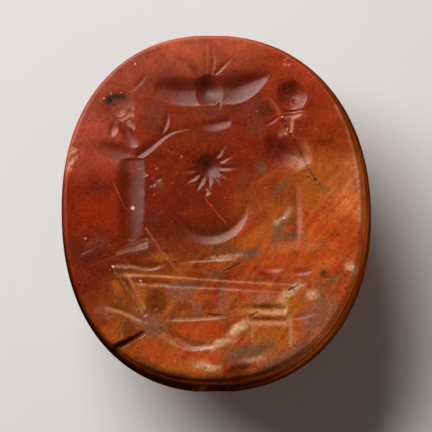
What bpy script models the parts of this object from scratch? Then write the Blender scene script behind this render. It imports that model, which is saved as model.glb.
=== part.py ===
"""A scaraboid stamp seal of mottled red jasper, pierced lengthwise and engraved on its flat oval face.

The stone lies on its domed back, with the engraved face up. +Y is the top of the engraved scene, and the
origin is the centre of the small flat that the back rests on. The body is a set of oval rings, from the
face's edge over the girth to the back. The carving is a set of drilled hollows and wheel-cut grooves, and
the face is a fine triangle mesh pressed down to the deepest cut at each point.
"""
import math

import bpy
import numpy as np
from mathutils import Vector
from mathutils.geometry import delaunay_2d_cdt

# All sizes below are in millimetres. The finished mesh is scaled to metres.
MM = 0.001

# The stone
FACE_HALF_WIDTH = 8.76
FACE_HALF_LENGTH = 10.22
OVAL_POWER = 2.21          # 2 is an ellipse, and a larger power has fuller shoulders
OVAL_LEAN = -0.0077        # the hand-cut oval leans a little to the upper left and lower right
OVAL_UNEVEN = 0.005        # and it is a trace fuller on three sides
THICKNESS = 8.6
ARRIS = 0.1                # height of the worn edge between the face and the side
GIRTH_DEPTH = 2.4          # the widest line, below the face
GIRTH_FLARE = 0.425        # how far the girth stands out beyond the edge of the face
SIDE_POWER = 1.5           # how evenly the side swells from the edge to the girth
BACK_APEX = -0.36          # where the dome would end, if the resting flat didn't cut it off at zero
BACK_POWER = 2.05

# The string hole, from end to end
BORE_RADIUS = 1.05
BORE_MIDDLE_RADIUS = 0.98  # drilled from both ends, it narrows a trace where the two drillings meet
BORE_MOUTH_RADIUS = 1.47
BORE_DEPTH = 2.2           # its axis, below the face
BORE_X = -0.08
MOUTH_FLARE_LENGTH = 1.1
CUTTER_OVERRUN = 1.6       # how far the cutter runs on outside the stone, and how much it widens there
CUTTER_FLARE = 0.3

# Mesh density
RING_POINTS = 96
SIDE_RINGS = 3
BACK_RINGS = 9
BORE_SIDES = 32
PLAIN_SPACING = 1.2        # between points where the face is uncut
CARVED_SPACING = 0.24      # and where it is carved
CLOSEST = 0.1              # no two points of the face are nearer than this
SHALLOWEST = 0.03          # shallower places need no points of their own

JASPER_RED = (0.36, 0.085, 0.038, 1.0)
JASPER_ROUGHNESS = 0.32


# ---------------------------------------------------------------- the outline and the profile

def oval_radius(angle):
    """Distance from the middle to the edge of the face."""
    across = np.abs(np.cos(angle)) / FACE_HALF_WIDTH
    along = np.abs(np.sin(angle)) / FACE_HALF_LENGTH
    plain = (across ** OVAL_POWER + along ** OVAL_POWER) ** (-1 / OVAL_POWER)
    return plain * (1 + OVAL_LEAN * np.sin(2 * angle) + OVAL_UNEVEN * np.cos(3 * angle))


def oval_ring(outset=0.0, scale=1.0):
    """Points round the stone, moved straight outwards from the edge of the face, then scaled."""
    angle = np.arange(RING_POINTS) * 2 * math.pi / RING_POINTS
    radius = (oval_radius(angle) + outset) * scale
    return np.stack([radius * np.cos(angle), radius * np.sin(angle)], axis=1)


def side_flare(depth):
    """How far the side stands out beyond the face's edge, at a depth above the girth."""
    return GIRTH_FLARE * (1 - (1 - depth / GIRTH_DEPTH) ** SIDE_POWER)


def body_rings():
    """(points, height) of each ring below the face's own edge, down to the resting flat."""
    rings = []
    for step in range(SIDE_RINGS + 1):
        depth = ARRIS + (GIRTH_DEPTH - ARRIS) * step / SIDE_RINGS
        rings.append((oval_ring(side_flare(depth)), THICKNESS - depth))
    dome_height = THICKNESS - GIRTH_DEPTH - BACK_APEX
    lowest = math.asin(1 + BACK_APEX / dome_height)
    for step in range(1, BACK_RINGS + 1):
        turn = lowest * step / BACK_RINGS
        scale = math.cos(turn) ** (2 / BACK_POWER)
        rings.append((oval_ring(GIRTH_FLARE, scale), BACK_APEX + dome_height * (1 - math.sin(turn))))
    flat_points, _ = rings[-1]
    rings[-1] = (flat_points, 0.0)
    return rings


# ---------------------------------------------------------------- the engraver's cuts

WALL = 1.6                 # a cut's section: 1 is a plain V or a cone, 2 is round-bottomed


def hollow(x, y, radius, depth, wall=2.0):
    """A round hollow left by a drill."""
    return {"kind": "hollow", "centre": (x, y), "radius": radius, "depth": depth, "wall": wall}


def groove(*path, width, depth, skew=0.0, blunt=2.5, wall=WALL):
    """A wheel cut along a smooth path. Width and depth are (start, middle, end), or one number for all.
    The skew moves the deepest line towards the left (+) or the right (-) of the way along, and a blunt
    end's wall is that many times shorter than the groove's half width."""
    def three(value):
        return value if isinstance(value, tuple) else (value, value, value)
    return {"kind": "groove", "path": smooth_path(path), "width": three(width), "depth": three(depth),
            "skew": skew, "blunt": blunt, "wall": wall}


def smooth_path(points, steps=8):
    """A Catmull-Rom curve through the points."""
    points = [np.array(point, float) for point in points]
    if len(points) == 2:
        return np.linspace(points[0], points[1], steps + 1)
    ends = [2 * points[0] - points[1]] + points + [2 * points[-1] - points[-2]]
    curve = []
    for a, b, c, d in zip(ends, ends[1:], ends[2:], ends[3:]):
        for t in np.arange(steps) / steps:
            curve.append(0.5 * (2 * b + (c - a) * t + (2 * a - 5 * b + 4 * c - d) * t ** 2
                                + (3 * b - a - 3 * c + d) * t ** 3))
    return np.array(curve + [points[-1]])


def through_three(values, t):
    """A value that runs smoothly from the first, through the second half way, to the third."""
    start, middle, end = values
    return np.maximum(start * (1 - t) * (1 - 2 * t) + middle * 4 * t * (1 - t) + end * t * (2 * t - 1), 0.001)


def groove_depth(points, cut):
    """Depth of one groove at each point."""
    path = cut["path"]
    step = np.diff(path, axis=0)
    length = np.hypot(step[:, 0], step[:, 1])
    along = step / length[:, None]
    offset = points[:, None, :] - path[None, :-1, :]
    run = (offset * along).sum(axis=2)
    clamped = np.clip(run, 0, length)
    beyond = (run - clamped) * cut["blunt"]
    side = along[None, :, 0] * offset[:, :, 1] - along[None, :, 1] * offset[:, :, 0]
    distance = np.hypot(side, beyond)
    nearest = distance.argmin(axis=1)
    row = np.arange(len(points))
    travelled = np.concatenate([[0], np.cumsum(length)])
    t = (travelled[nearest] + clamped[row, nearest]) / travelled[-1]
    half = through_three(cut["width"], t) / 2 + 1e-6
    lateral = side[row, nearest] / half - cut["skew"]
    room = np.where(lateral > 0, 1 - cut["skew"], 1 + cut["skew"])
    across = np.hypot(lateral / room, beyond[row, nearest] / half)
    return through_three(cut["depth"], t) * np.clip(1 - across ** cut["wall"], 0, None)


def hollow_depth(points, cut):
    """Depth of one drilled hollow at each point."""
    across = np.hypot(*(points - np.array(cut["centre"])).T) / cut["radius"]
    return cut["depth"] * np.clip(1 - across ** cut["wall"], 0, None)


def carved_depth(points, cuts):
    """The deepest cut at each point."""
    deepest = np.zeros(len(points))
    for cut in cuts:
        one = hollow_depth(points, cut) if cut["kind"] == "hollow" else groove_depth(points, cut)
        deepest = np.maximum(deepest, one)
    return deepest


# ---------------------------------------------------------------- the engraved scene

DISC_CENTRE = (-0.17, 7.03)
STAR_CENTRE = (-0.2, 2.4)
# Each ray: (degrees from +X, how far its tip reaches from the star's centre, depth)
STAR_RAYS = ((53, 1.75, 0.055), (27, 1.7, 0.05), (-2, 1.85, 0.055), (-30, 1.6, 0.06), (-58, 1.4, 0.07),
             (-88, 1.4, 0.075), (-118, 1.75, 0.07), (-146, 1.85, 0.06), (-171, 1.7, 0.05), (166, 1.5, 0.035),
             (148, 1.6, 0.03), (128, 1.3, 0.03), (108, 1.3, 0.03), (86, 1.5, 0.04))
STAR_HOLLOW_RADIUS = 0.86
STAR_RAY_ROOT = 0.5
CRESCENT_CENTRE = (-0.2, 0.58)
CRESCENT_RADIUS = 2.26


def winged_disc():
    """The sun disc between two spread wings, with a tail below and plumes above."""
    x, y = DISC_CENTRE
    return [
        groove((x, y + 0.04), (x, y - 0.04), width=2.5, depth=0.42, skew=-0.15, blunt=1.35, wall=1.4),
        groove((-3.2, 7.15), (-2.2, 7.0), (-0.6, 6.96), width=(1.1, 1.76, 1.72), depth=(0.09, 0.24, 0.2),
               skew=0.05, blunt=2.5, wall=1.5),
        groove((0.35, 7.0), (1.5, 7.15), (2.6, 7.56), (3.3, 7.85), width=(1.7, 1.74, 0.35),
               depth=(0.15, 0.24, 0.012), skew=0.05, wall=1.5),
        groove((-0.1, 6.1), (0.1, 5.2), width=(0.9, 1.2, 1.6), depth=(0.03, 0.05, 0.06), blunt=2.0),
        groove((0.4, 6.8), (0.42, 6.1), (0.36, 5.6), width=(0.7, 0.55, 0.3), depth=(0.12, 0.055, 0.01)),
        groove((-0.85, 4.86), (0.1, 4.95), (0.9, 5.1), width=(0.6, 1.1, 0.9), depth=(0.03, 0.12, 0.09),
               skew=0.1, blunt=1.5, wall=1.5),
        groove((-0.06, 9.9), (0.06, 8.95), (-0.04, 8.0), width=(0.14, 0.28, 0.36), depth=(0.008, 0.035, 0.05),
               skew=0.2),
        groove((0.14, 7.95), (1.15, 8.92), width=(0.3, 0.26, 0.1), depth=(0.055, 0.045, 0.01), skew=-0.2),
        groove((-1.7, 8.85), (-1.15, 8.6), (-0.72, 7.85), width=(0.4, 0.75, 0.9), depth=(0.015, 0.06, 0.1),
               blunt=1.2),
    ]


def star():
    """A cone-shaped drilling with thin wedge-shaped rays that run out from it."""
    x, y = STAR_CENTRE
    cuts = [hollow(x, y, STAR_HOLLOW_RADIUS, 0.3, wall=1.8)]
    for degrees, reach, depth in STAR_RAYS:
        out = np.array([math.cos(math.radians(degrees)), math.sin(math.radians(degrees))])
        root = out * STAR_RAY_ROOT + STAR_CENTRE
        tip = out * reach + STAR_CENTRE
        cuts.append(groove(root, tip, width=(0.52, 0.36, 0.03), depth=(2.6 * depth, depth, 0.003), wall=1.4))
    return cuts


def crescent():
    """The moon below the star, thickest at the bottom."""
    x, y = CRESCENT_CENTRE
    arc = [(x + CRESCENT_RADIUS * math.cos(math.radians(a)), y + CRESCENT_RADIUS * math.sin(math.radians(a)))
           for a in range(198, 355, 13)]
    return [groove(*arc, width=(0.4, 1.25, 0.5), depth=(0.012, 0.17, 0.02), wall=1.6)]


def left_attendant():
    """A winged figure, built up from drill hollows for the head and fat wheel cuts for the body."""
    return [
        hollow(-5.54, 6.17, 0.96, 0.17, wall=1.6),
        hollow(-5.47, 5.84, 0.64, 0.25, wall=1.4),
        groove((-5.25, 6.12), (-4.95, 5.82), (-5.05, 5.5), (-5.4, 5.32), (-5.8, 5.4),
               width=(0.3, 0.62, 0.4), depth=(0.1, 0.18, 0.12), skew=-0.3, wall=1.3),
        groove((-5.82, 5.1), (-5.93, 4.5), width=(0.5, 0.66, 0.5), depth=(0.07, 0.12, 0.07), skew=-0.2,
               blunt=1.2, wall=1.5),
        groove((-5.13, 4.95), (-4.81, 5.11), width=(0.9, 1.0, 1.0), depth=(0.12, 0.16, 0.14), skew=0.5,
               blunt=2.0, wall=1.2),
        groove((-5.4, 5.2), (-4.55, 3.55), width=(0.5, 0.9, 1.0), depth=(0.12, 0.18, 0.005), blunt=1.6,
               wall=1.5),
        groove((-6.7, 3.75), (-5.8, 3.45), (-4.7, 3.2), width=(0.6, 1.35, 1.1), depth=(0.04, 0.14, 0.14),
               blunt=1.3, wall=1.5),
        groove((-5.25, 2.8), (-3.9, 3.62), (-2.95, 4.3), (-2.25, 4.62), (-1.3, 4.75),
               width=(1.0, 0.62, 0.1), depth=(0.14, 0.09, 0.008), skew=-0.35, wall=1.3),
        groove((-2.64, 5.75), (-2.7, 5.15), (-2.9, 4.6), (-3.25, 4.0), width=(0.2, 0.36, 0.24),
               depth=(0.03, 0.06, 0.02)),
        groove((-4.84, 2.85), (-4.76, -1.75), width=(1.66, 1.62, 1.35), depth=(0.22, 0.2, 0.06), skew=-0.05,
               wall=1.8),
        groove((-6.4, -3.0), (-5.15, -2.5), (-4.0, -2.1), width=(0.1, 0.4, 0.7), depth=(0.01, 0.04, 0.07),
               blunt=1.5),
    ]


def right_attendant():
    """The facing figure, cut in the same way, and more worn."""
    return [
        hollow(4.72, 6.62, 0.9, 0.33, wall=1.5),
        hollow(4.84, 6.34, 0.44, 0.33, wall=1.2),
        groove((4.15, 5.65), (4.75, 5.66), (5.3, 5.75), width=(0.3, 0.36, 0.2), depth=(0.06, 0.1, 0.02),
               wall=1.3),
        groove((4.2, 5.42), (4.75, 5.42), (5.3, 5.55), width=(0.3, 0.4, 0.2), depth=(0.05, 0.1, 0.02),
               skew=0.2, wall=1.3),
        groove((4.66, 5.35), (4.64, 4.5), width=(0.3, 0.34, 0.3), depth=(0.05, 0.08, 0.04), skew=-0.2,
               wall=1.3),
        groove((4.2, 4.6), (4.35, 4.3), width=(0.3, 0.4, 0.3), depth=(0.04, 0.07, 0.03), skew=-0.2,
               blunt=1.2),
        groove((3.75, 3.5), (4.4, 3.2), (5.05, 2.9), width=(1.7, 2.0, 1.7), depth=(0.2, 0.28, 0.2),
               blunt=0.95, wall=1.4),
        groove((4.9, 1.8), (4.96, -2.0), width=(0.8, 1.0, 0.8), depth=(0.02, 0.12, 0.06), skew=0.1,
               blunt=1.5, wall=1.4),
        groove((2.6, 5.05), (2.82, 4.0), (3.25, 3.15), (3.72, 2.7), width=(0.15, 0.32, 0.2),
               depth=(0.015, 0.045, 0.02)),
    ]


def ground():
    """The ground lines under the figures, the two ruled lines of the base, and a slanting cut."""
    return [
        groove((-2.0, -3.17), (-0.4, -3.06), (1.35, -3.02), width=(0.2, 0.36, 0.2), depth=(0.01, 0.05, 0.02),
               skew=-0.3, wall=1.3),
        groove((-5.85, -3.4), (-4.85, -3.44), width=(0.4, 0.4, 0.2), depth=(0.05, 0.045, 0.01), skew=-0.2),
        groove((-4.75, -3.42), (-3.75, -3.54), (-2.9, -3.4), width=(0.24, 0.46, 0.24),
               depth=(0.01, 0.065, 0.01), skew=-0.1),
        groove((2.72, -3.6), (3.5, -3.66), (4.25, -3.62), width=(0.24, 0.56, 0.24), depth=(0.01, 0.075, 0.01),
               skew=-0.1, wall=1.3),
        groove((4.4, -3.8), (5.15, -3.86), (5.95, -3.8), width=(0.24, 0.56, 0.24), depth=(0.01, 0.075, 0.01),
               skew=-0.1, wall=1.3),
        groove((-5.55, -3.86), (-3.1, -3.9), (0.75, -4.22), (5.35, -4.55), width=(0.44, 0.48, 0.4),
               depth=(0.035, 0.06, 0.035), skew=-0.25, wall=1.3),
        groove((-4.4, -4.42), (0.45, -4.68), (4.2, -4.98), width=(0.44, 0.48, 0.4),
               depth=(0.04, 0.06, 0.04), skew=-0.25, wall=1.3),
        groove((-5.5, -3.6), (-5.15, -4.3), (-4.45, -5.45), (-3.95, -6.35), width=(0.7, 0.62, 0.4),
               depth=(0.05, 0.13, 0.05), wall=1.3),
    ]


def exergue():
    """The boat-like figure below the base lines."""
    return [
        groove((2.1, -6.02), (4.3, -6.08), width=(0.45, 0.64, 0.6), depth=(0.03, 0.1, 0.08), skew=0.1,
               wall=1.3),
        groove((2.25, -6.72), (4.45, -6.78), width=(0.45, 0.6, 0.56), depth=(0.03, 0.09, 0.07), skew=0.1,
               wall=1.3),
        groove((4.55, -6.35), (4.6, -8.2), width=(0.36, 0.42, 0.24), depth=(0.06, 0.07, 0.02), skew=-0.3),
        groove((4.8, -6.62), (6.1, -6.3), width=(0.25, 0.36, 0.12), depth=(0.03, 0.045, 0.01)),
        groove((-2.75, -6.58), (-1.0, -6.53), (0.7, -6.45), width=(0.3, 0.42, 0.3), depth=(0.03, 0.06, 0.03),
               skew=-0.3, wall=1.3),
        groove((-2.6, -6.95), (-2.05, -7.7), (-1.3, -8.15), (0.0, -8.2), width=(0.3, 0.7, 0.3),
               depth=(0.05, 0.15, 0.03), wall=1.4),
        groove((-6.15, -5.85), (-5.15, -6.1), (-3.9, -6.75), width=(0.2, 0.5, 0.3), depth=(0.03, 0.09, 0.03),
               wall=1.4),
    ]


def edge_slot():
    """The deep dark slot that breaks the edge at the lower left."""
    return [groove((-6.45, -8.5), (-5.4, -8.08), (-4.05, -7.4), width=(0.56, 0.42, 0.3),
                   depth=(0.32, 0.3, 0.12))]


# ---------------------------------------------------------------- the meshes

def cut_points(cut):
    """The points that a cut needs to keep its shape: its deepest line, its edges and what lies between."""
    found = []
    if cut["kind"] == "hollow":
        found.append(np.array([cut["centre"]]))
        for share in (0.35, 0.7, 1.0):
            count = max(8, round(20 * share))
            turn = np.arange(count) * 2 * math.pi / count
            ring = np.stack([np.cos(turn), np.sin(turn)], axis=1) * cut["radius"] * share
            found.append(ring + np.array(cut["centre"]))
        return found
    path = cut["path"]
    step = np.diff(path, axis=0)
    travelled = np.concatenate([[0], np.cumsum(np.hypot(step[:, 0], step[:, 1]))])
    widest = max(cut["width"])
    count = max(3, int(travelled[-1] / max(0.28, widest * 0.45)) + 2)
    t = np.linspace(0, 1, count)
    spine = np.stack([np.interp(t * travelled[-1], travelled, path[:, axis]) for axis in (0, 1)], axis=1)
    heading = np.gradient(spine, axis=0)
    left = np.stack([-heading[:, 1], heading[:, 0]], axis=1) / np.hypot(*heading.T)[:, None]
    half = through_three(cut["width"], t)[:, None] / 2
    rows = (cut["skew"], 1.0, -1.0) if widest < 0.5 else (cut["skew"], 1.0, -1.0, 0.55, -0.55)
    for row in rows:
        found.append(spine + left * half * row)
    return found


def lattice(spacing):
    """Staggered rows of points over the whole face."""
    rows = []
    for index, y in enumerate(np.arange(-FACE_HALF_LENGTH, FACE_HALF_LENGTH, spacing)):
        xs = np.arange(-FACE_HALF_WIDTH, FACE_HALF_WIDTH, spacing) + spacing / 2 * (index % 2)
        rows.append(np.stack([xs, np.full(len(xs), y)], axis=1))
    return np.concatenate(rows)


def face_points(cuts):
    """Points for the face mesh: the edge, then the cuts, then a loose lattice, none too near another."""
    edge = oval_ring()
    wanted = [row for cut in cuts for row in cut_points(cut)]
    carved = lattice(CARVED_SPACING)
    wanted.append(carved[carved_depth(carved, cuts) > SHALLOWEST])
    wanted.append(lattice(PLAIN_SPACING))
    wanted = np.concatenate(wanted)
    inside = np.hypot(*wanted.T) < oval_radius(np.arctan2(wanted[:, 1], wanted[:, 0])) - 1.5 * CLOSEST
    wanted = wanted[inside]
    kept = {}
    chosen = []
    for point in wanted:
        cell = tuple(np.floor(point / CLOSEST).astype(int))
        near = [kept[(cell[0] + i, cell[1] + j)] for i in (-1, 0, 1) for j in (-1, 0, 1)
                if (cell[0] + i, cell[1] + j) in kept]
        if all(np.hypot(*(point - other)) >= CLOSEST for other in near):
            kept[cell] = point
            chosen.append(point)
    return edge, np.array(chosen)


def jasper():
    """Polished red jasper."""
    material = bpy.data.materials.new("red_jasper")
    material.use_nodes = True
    shader = material.node_tree.nodes["Principled BSDF"]
    shader.inputs["Base Color"].default_value = JASPER_RED
    shader.inputs["Roughness"].default_value = JASPER_ROUGHNESS
    shader.inputs["Metallic"].default_value = 0.0
    return material


def stone_mesh(cuts):
    """The closed stone: the engraved face, the rings of the side and back, and the resting flat."""
    edge, inner = face_points(cuts)
    flat = np.concatenate([edge, inner])
    loop = [(i, (i + 1) % RING_POINTS) for i in range(RING_POINTS)]
    placed, _, faces, *_ = delaunay_2d_cdt([Vector(point) for point in flat.tolist()], loop, [], 1, 1e-7)
    placed = np.array([tuple(point) for point in placed])
    height = THICKNESS - carved_depth(placed, cuts)
    height[:RING_POINTS] = THICKNESS
    points = [np.column_stack([placed, height])]
    faces = [tuple(face) for face in faces]
    above = 0
    start = len(placed)
    for ring, level in body_rings():
        points.append(np.column_stack([ring, np.full(RING_POINTS, level)]))
        for i in range(RING_POINTS):
            j = (i + 1) % RING_POINTS
            faces.append((above + i, start + i, start + j, above + j))
        above = start
        start += RING_POINTS
    faces.append(tuple(range(above + RING_POINTS - 1, above - 1, -1)))
    points = np.concatenate(points)
    low, high = points.min(axis=0), points.max(axis=0)
    points[:, :2] -= (low[:2] + high[:2]) / 2
    mesh = bpy.data.meshes.new("seal_stone")
    mesh.from_pydata((points * MM).tolist(), [], faces)
    mesh.validate()
    return mesh


def bore_cutter():
    """The string hole: a turned shape along Y, flared where the string wore its mouths."""
    axis_height = THICKNESS - BORE_DEPTH
    inner = FACE_HALF_LENGTH - MOUTH_FLARE_LENGTH
    mouth = FACE_HALF_LENGTH + GIRTH_FLARE
    reach = mouth + CUTTER_OVERRUN
    half = [(inner, BORE_RADIUS), (mouth, BORE_MOUTH_RADIUS), (reach, BORE_MOUTH_RADIUS + CUTTER_FLARE)]
    stations = [(-y, radius) for y, radius in reversed(half)] + [(0.0, BORE_MIDDLE_RADIUS)] + half
    points, faces = [], []
    for y, radius in stations:
        for i in range(BORE_SIDES):
            turn = 2 * math.pi * i / BORE_SIDES
            points.append((BORE_X + radius * math.cos(turn), y, axis_height + radius * math.sin(turn)))
    for ring in range(len(stations) - 1):
        for i in range(BORE_SIDES):
            j = (i + 1) % BORE_SIDES
            a, b = ring * BORE_SIDES, (ring + 1) * BORE_SIDES
            faces.append((a + i, b + i, b + j, a + j))
    faces.append(tuple(range(BORE_SIDES)))
    faces.append(tuple(reversed(range((len(stations) - 1) * BORE_SIDES, len(stations) * BORE_SIDES))))
    mesh = bpy.data.meshes.new("bore_cutter")
    mesh.from_pydata((np.array(points) * MM).tolist(), [], faces)
    cutter = bpy.data.objects.new("bore_cutter", mesh)
    cutter.hide_render = True
    cutter.display_type = "WIRE"
    bpy.context.scene.collection.objects.link(cutter)
    return cutter


def build():
    for old in list(bpy.data.objects):
        bpy.data.objects.remove(old, do_unlink=True)
    cuts = (winged_disc() + star() + crescent() + left_attendant() + right_attendant()
            + ground() + exergue() + edge_slot())
    stone = bpy.data.objects.new("seal_stone", stone_mesh(cuts))
    stone.data.materials.append(jasper())
    stone.data.shade_smooth()
    stone.data.set_sharp_from_angle(angle=math.radians(35))
    bpy.context.scene.collection.objects.link(stone)
    drill = stone.modifiers.new("string_hole", "BOOLEAN")
    drill.operation = "DIFFERENCE"
    drill.solver = "EXACT"
    drill.object = bore_cutter()


build()
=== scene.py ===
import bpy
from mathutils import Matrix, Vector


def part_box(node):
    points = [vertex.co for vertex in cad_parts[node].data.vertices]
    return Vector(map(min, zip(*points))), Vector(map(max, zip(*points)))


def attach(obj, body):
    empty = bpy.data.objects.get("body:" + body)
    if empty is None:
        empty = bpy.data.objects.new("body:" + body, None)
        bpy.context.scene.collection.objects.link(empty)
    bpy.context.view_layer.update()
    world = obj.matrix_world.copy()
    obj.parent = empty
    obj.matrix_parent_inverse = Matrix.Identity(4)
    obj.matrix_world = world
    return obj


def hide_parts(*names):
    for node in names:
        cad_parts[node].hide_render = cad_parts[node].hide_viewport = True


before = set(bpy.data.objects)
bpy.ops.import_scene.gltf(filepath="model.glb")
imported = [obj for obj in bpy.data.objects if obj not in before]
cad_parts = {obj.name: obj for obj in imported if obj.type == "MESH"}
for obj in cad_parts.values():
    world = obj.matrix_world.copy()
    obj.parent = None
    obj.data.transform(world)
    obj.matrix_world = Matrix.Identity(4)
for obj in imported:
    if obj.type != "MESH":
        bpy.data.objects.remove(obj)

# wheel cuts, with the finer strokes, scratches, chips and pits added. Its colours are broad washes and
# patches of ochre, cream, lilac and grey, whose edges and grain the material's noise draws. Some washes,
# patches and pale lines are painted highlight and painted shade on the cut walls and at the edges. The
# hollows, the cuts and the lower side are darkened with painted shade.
"""The looks of a scaraboid stamp seal: mottled red jasper with a worn satin polish, engraved on its face.

The stone is one fine mesh that keeps the solid's form. Its engraving is made of the same drilled hollows and
wheel cuts, with the finer strokes, scratches, chips and pits added. Its colours are broad washes and patches
of ochre, cream, lilac and grey, whose edges and grain the material's noise draws.
"""
import math

import bpy
import numpy as np
from mathutils import Matrix, Vector
from mathutils.geometry import delaunay_2d_cdt
from mathutils.kdtree import KDTree

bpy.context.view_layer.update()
NODE = "seal_stone"
MM = 0.001                 # the sizes below are in millimetres

# The stone, as the solid has it
FACE_HALF_WIDTH = 8.76
FACE_HALF_LENGTH = 10.22
OVAL_POWER = 2.21
OVAL_LEAN = -0.0077
OVAL_UNEVEN = 0.005
THICKNESS = 8.6
GIRTH_DEPTH = 2.4
GIRTH_FLARE = 0.425
SIDE_POWER = 1.5
BACK_APEX = -0.36
BACK_POWER = 2.05
BORE_RADIUS = 1.05
BORE_MOUTH_RADIUS = 1.47
BORE_DEPTH = 2.2
BORE_X = -0.08
MOUTH_FLARE_LENGTH = 1.1
CUTTER_OVERRUN = 1.5       # how far the cutter for the string hole runs on outside the stone
ARRIS_RADIUS = 0.13        # the edge of the face is worn round

# Mesh density
RING_POINTS = 440
ARRIS_RINGS = 5
SIDE_RINGS = 14
BACK_RINGS = 24
PLAIN_SPACING = 0.1        # between points where the face is uncut
CARVED_SPACING = 0.062     # and where it is carved
LINE_SPACING = 0.05        # along the deepest line and the rims of each groove
FLAT_SPACING = 0.3         # on the resting flat
BORE_RINGS = 120
BORE_SIDES = 72


# ---------------------------------------------------------------- noise

def lattice_value(cell, seed):
    """A repeatable value from -1 to 1 for each lattice cell."""
    mixed = (cell[..., 0] * np.uint64(374761393) + cell[..., 1] * np.uint64(668265263)
             + cell[..., 2] * np.uint64(2246822519) + np.uint64(seed * 3266489917)) & np.uint64(0xFFFFFFFF)
    mixed = ((mixed ^ (mixed >> np.uint64(15))) * np.uint64(2654435761)) & np.uint64(0xFFFFFFFF)
    mixed = ((mixed ^ (mixed >> np.uint64(13))) * np.uint64(1274126177)) & np.uint64(0xFFFFFFFF)
    return ((mixed ^ (mixed >> np.uint64(16))) & np.uint64(0xFFFFFF)).astype(float) / 0xFFFFFF * 2 - 1


def value_noise(points, seed):
    """Smooth noise from -1 to 1 with features about one unit across."""
    shifted = points + 1000.0
    cell = np.floor(shifted)
    part = shifted - cell
    part = part * part * (3 - 2 * part)
    cell = cell.astype(np.uint64)
    total = np.zeros(len(points))
    for corner in range(8):
        step = np.array([corner & 1, corner >> 1 & 1, corner >> 2 & 1], np.uint64)
        weight = np.prod(np.where(step == 1, part, 1 - part), axis=1)
        total += weight * lattice_value(cell + step, seed)
    return total


def cloud(points, size, seed, octaves=4):
    """Noise in several sizes, the largest about size across."""
    if points.shape[1] == 2:
        points = np.column_stack([points, np.zeros(len(points))])
    total, height, most = np.zeros(len(points)), 1.0, 0.0
    for octave in range(octaves):
        total += height * value_noise(points / size * 2 ** octave, seed + octave)
        most += height
        height *= 0.55
    return total / most


# ---------------------------------------------------------------- the outline and the profile

def oval_radius(angle):
    """Distance from the middle to the edge of the face."""
    across = np.abs(np.cos(angle)) / FACE_HALF_WIDTH
    along = np.abs(np.sin(angle)) / FACE_HALF_LENGTH
    plain = (across ** OVAL_POWER + along ** OVAL_POWER) ** (-1 / OVAL_POWER)
    return plain * (1 + OVAL_LEAN * np.sin(2 * angle) + OVAL_UNEVEN * np.cos(3 * angle))


def oval_ring(outset=0.0, scale=1.0):
    """Points round the stone, moved straight outwards from the edge of the face, then scaled."""
    angle = np.arange(RING_POINTS) * 2 * math.pi / RING_POINTS
    radius = (oval_radius(angle) + outset) * scale
    return np.stack([radius * np.cos(angle), radius * np.sin(angle)], axis=1)


def side_flare(depth):
    """How far the side stands out beyond the face's edge, at a depth above the girth."""
    return GIRTH_FLARE * (1 - (1 - depth / GIRTH_DEPTH) ** SIDE_POWER)


def body_rings():
    """(points, height) of each ring from the inner edge of the worn arris down to the resting flat."""
    rings = []
    for step in range(ARRIS_RINGS + 1):
        turn = math.pi / 2 * step / ARRIS_RINGS
        depth = ARRIS_RADIUS * (1 - math.cos(turn))
        outset = side_flare(depth) - ARRIS_RADIUS * (1 - math.sin(turn))
        rings.append((oval_ring(outset), THICKNESS - depth))
    for step in range(1, SIDE_RINGS + 1):
        depth = ARRIS_RADIUS + (GIRTH_DEPTH - ARRIS_RADIUS) * step / SIDE_RINGS
        rings.append((oval_ring(side_flare(depth)), THICKNESS - depth))
    dome_height = THICKNESS - GIRTH_DEPTH - BACK_APEX
    lowest = math.asin(1 + BACK_APEX / dome_height)
    for step in range(1, BACK_RINGS + 1):
        turn = lowest * step / BACK_RINGS
        scale = math.cos(turn) ** (2 / BACK_POWER)
        rings.append((oval_ring(GIRTH_FLARE, scale), BACK_APEX + dome_height * (1 - math.sin(turn))))
    return rings


# ---------------------------------------------------------------- the engraver's cuts

WALL = 1.6                 # a cut's section: 1 is a plain V or a cone, 2 is round-bottomed
FADE = 1.7                 # how gently a soft rim runs out
RIM_WEAR = 0.018           # how much the rims of the cuts are rounded
RING_MARK_PITCH = 0.27     # between the turning marks of a drill
UNCUT = -0.5               # stands for no cut at all
RIM_REACH = 0.15           # how far outside its rim a cut still rounds the face


def hollow(x, y, radius, depth, rings=0.0, wall=2.0):
    """A round hollow left by a drill, with turning marks where rings gives them a height."""
    return {"kind": "hollow", "centre": (x, y), "radius": radius, "depth": depth, "rings": rings,
            "wall": wall}


def groove(*path, width, depth, skew=0.0, blunt=2.5, wall=WALL, soft=""):
    """A wheel cut along a smooth path. Width and depth are (start, middle, end), or one number for all.
    The skew moves the deepest line towards the left (+) or the right (-) of the way along, and a blunt
    end's wall is that many times shorter than the groove's half width. The rims named in soft, "left" or
    "right" of the way along, fade out into the face."""
    def three(value):
        return value if isinstance(value, tuple) else (value, value, value)
    return {"kind": "groove", "path": smooth_path(path), "width": three(width), "depth": three(depth),
            "skew": skew, "blunt": blunt, "wall": wall, "soft": soft}


def smooth_path(points, steps=8):
    """A Catmull-Rom curve through the points."""
    points = [np.array(point, float) for point in points]
    if len(points) == 2:
        return np.linspace(points[0], points[1], steps + 1)
    ends = [2 * points[0] - points[1]] + points + [2 * points[-1] - points[-2]]
    curve = []
    for a, b, c, d in zip(ends, ends[1:], ends[2:], ends[3:]):
        for t in np.arange(steps) / steps:
            curve.append(0.5 * (2 * b + (c - a) * t + (2 * a - 5 * b + 4 * c - d) * t ** 2
                                + (3 * b - a - 3 * c + d) * t ** 3))
    return np.array(curve + [points[-1]])


def through_three(values, t):
    """A value that runs smoothly from the first, through the second half way, to the third."""
    start, middle, end = values
    return np.maximum(start * (1 - t) * (1 - 2 * t) + middle * 4 * t * (1 - t) + end * t * (2 * t - 1), 0.001)


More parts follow.
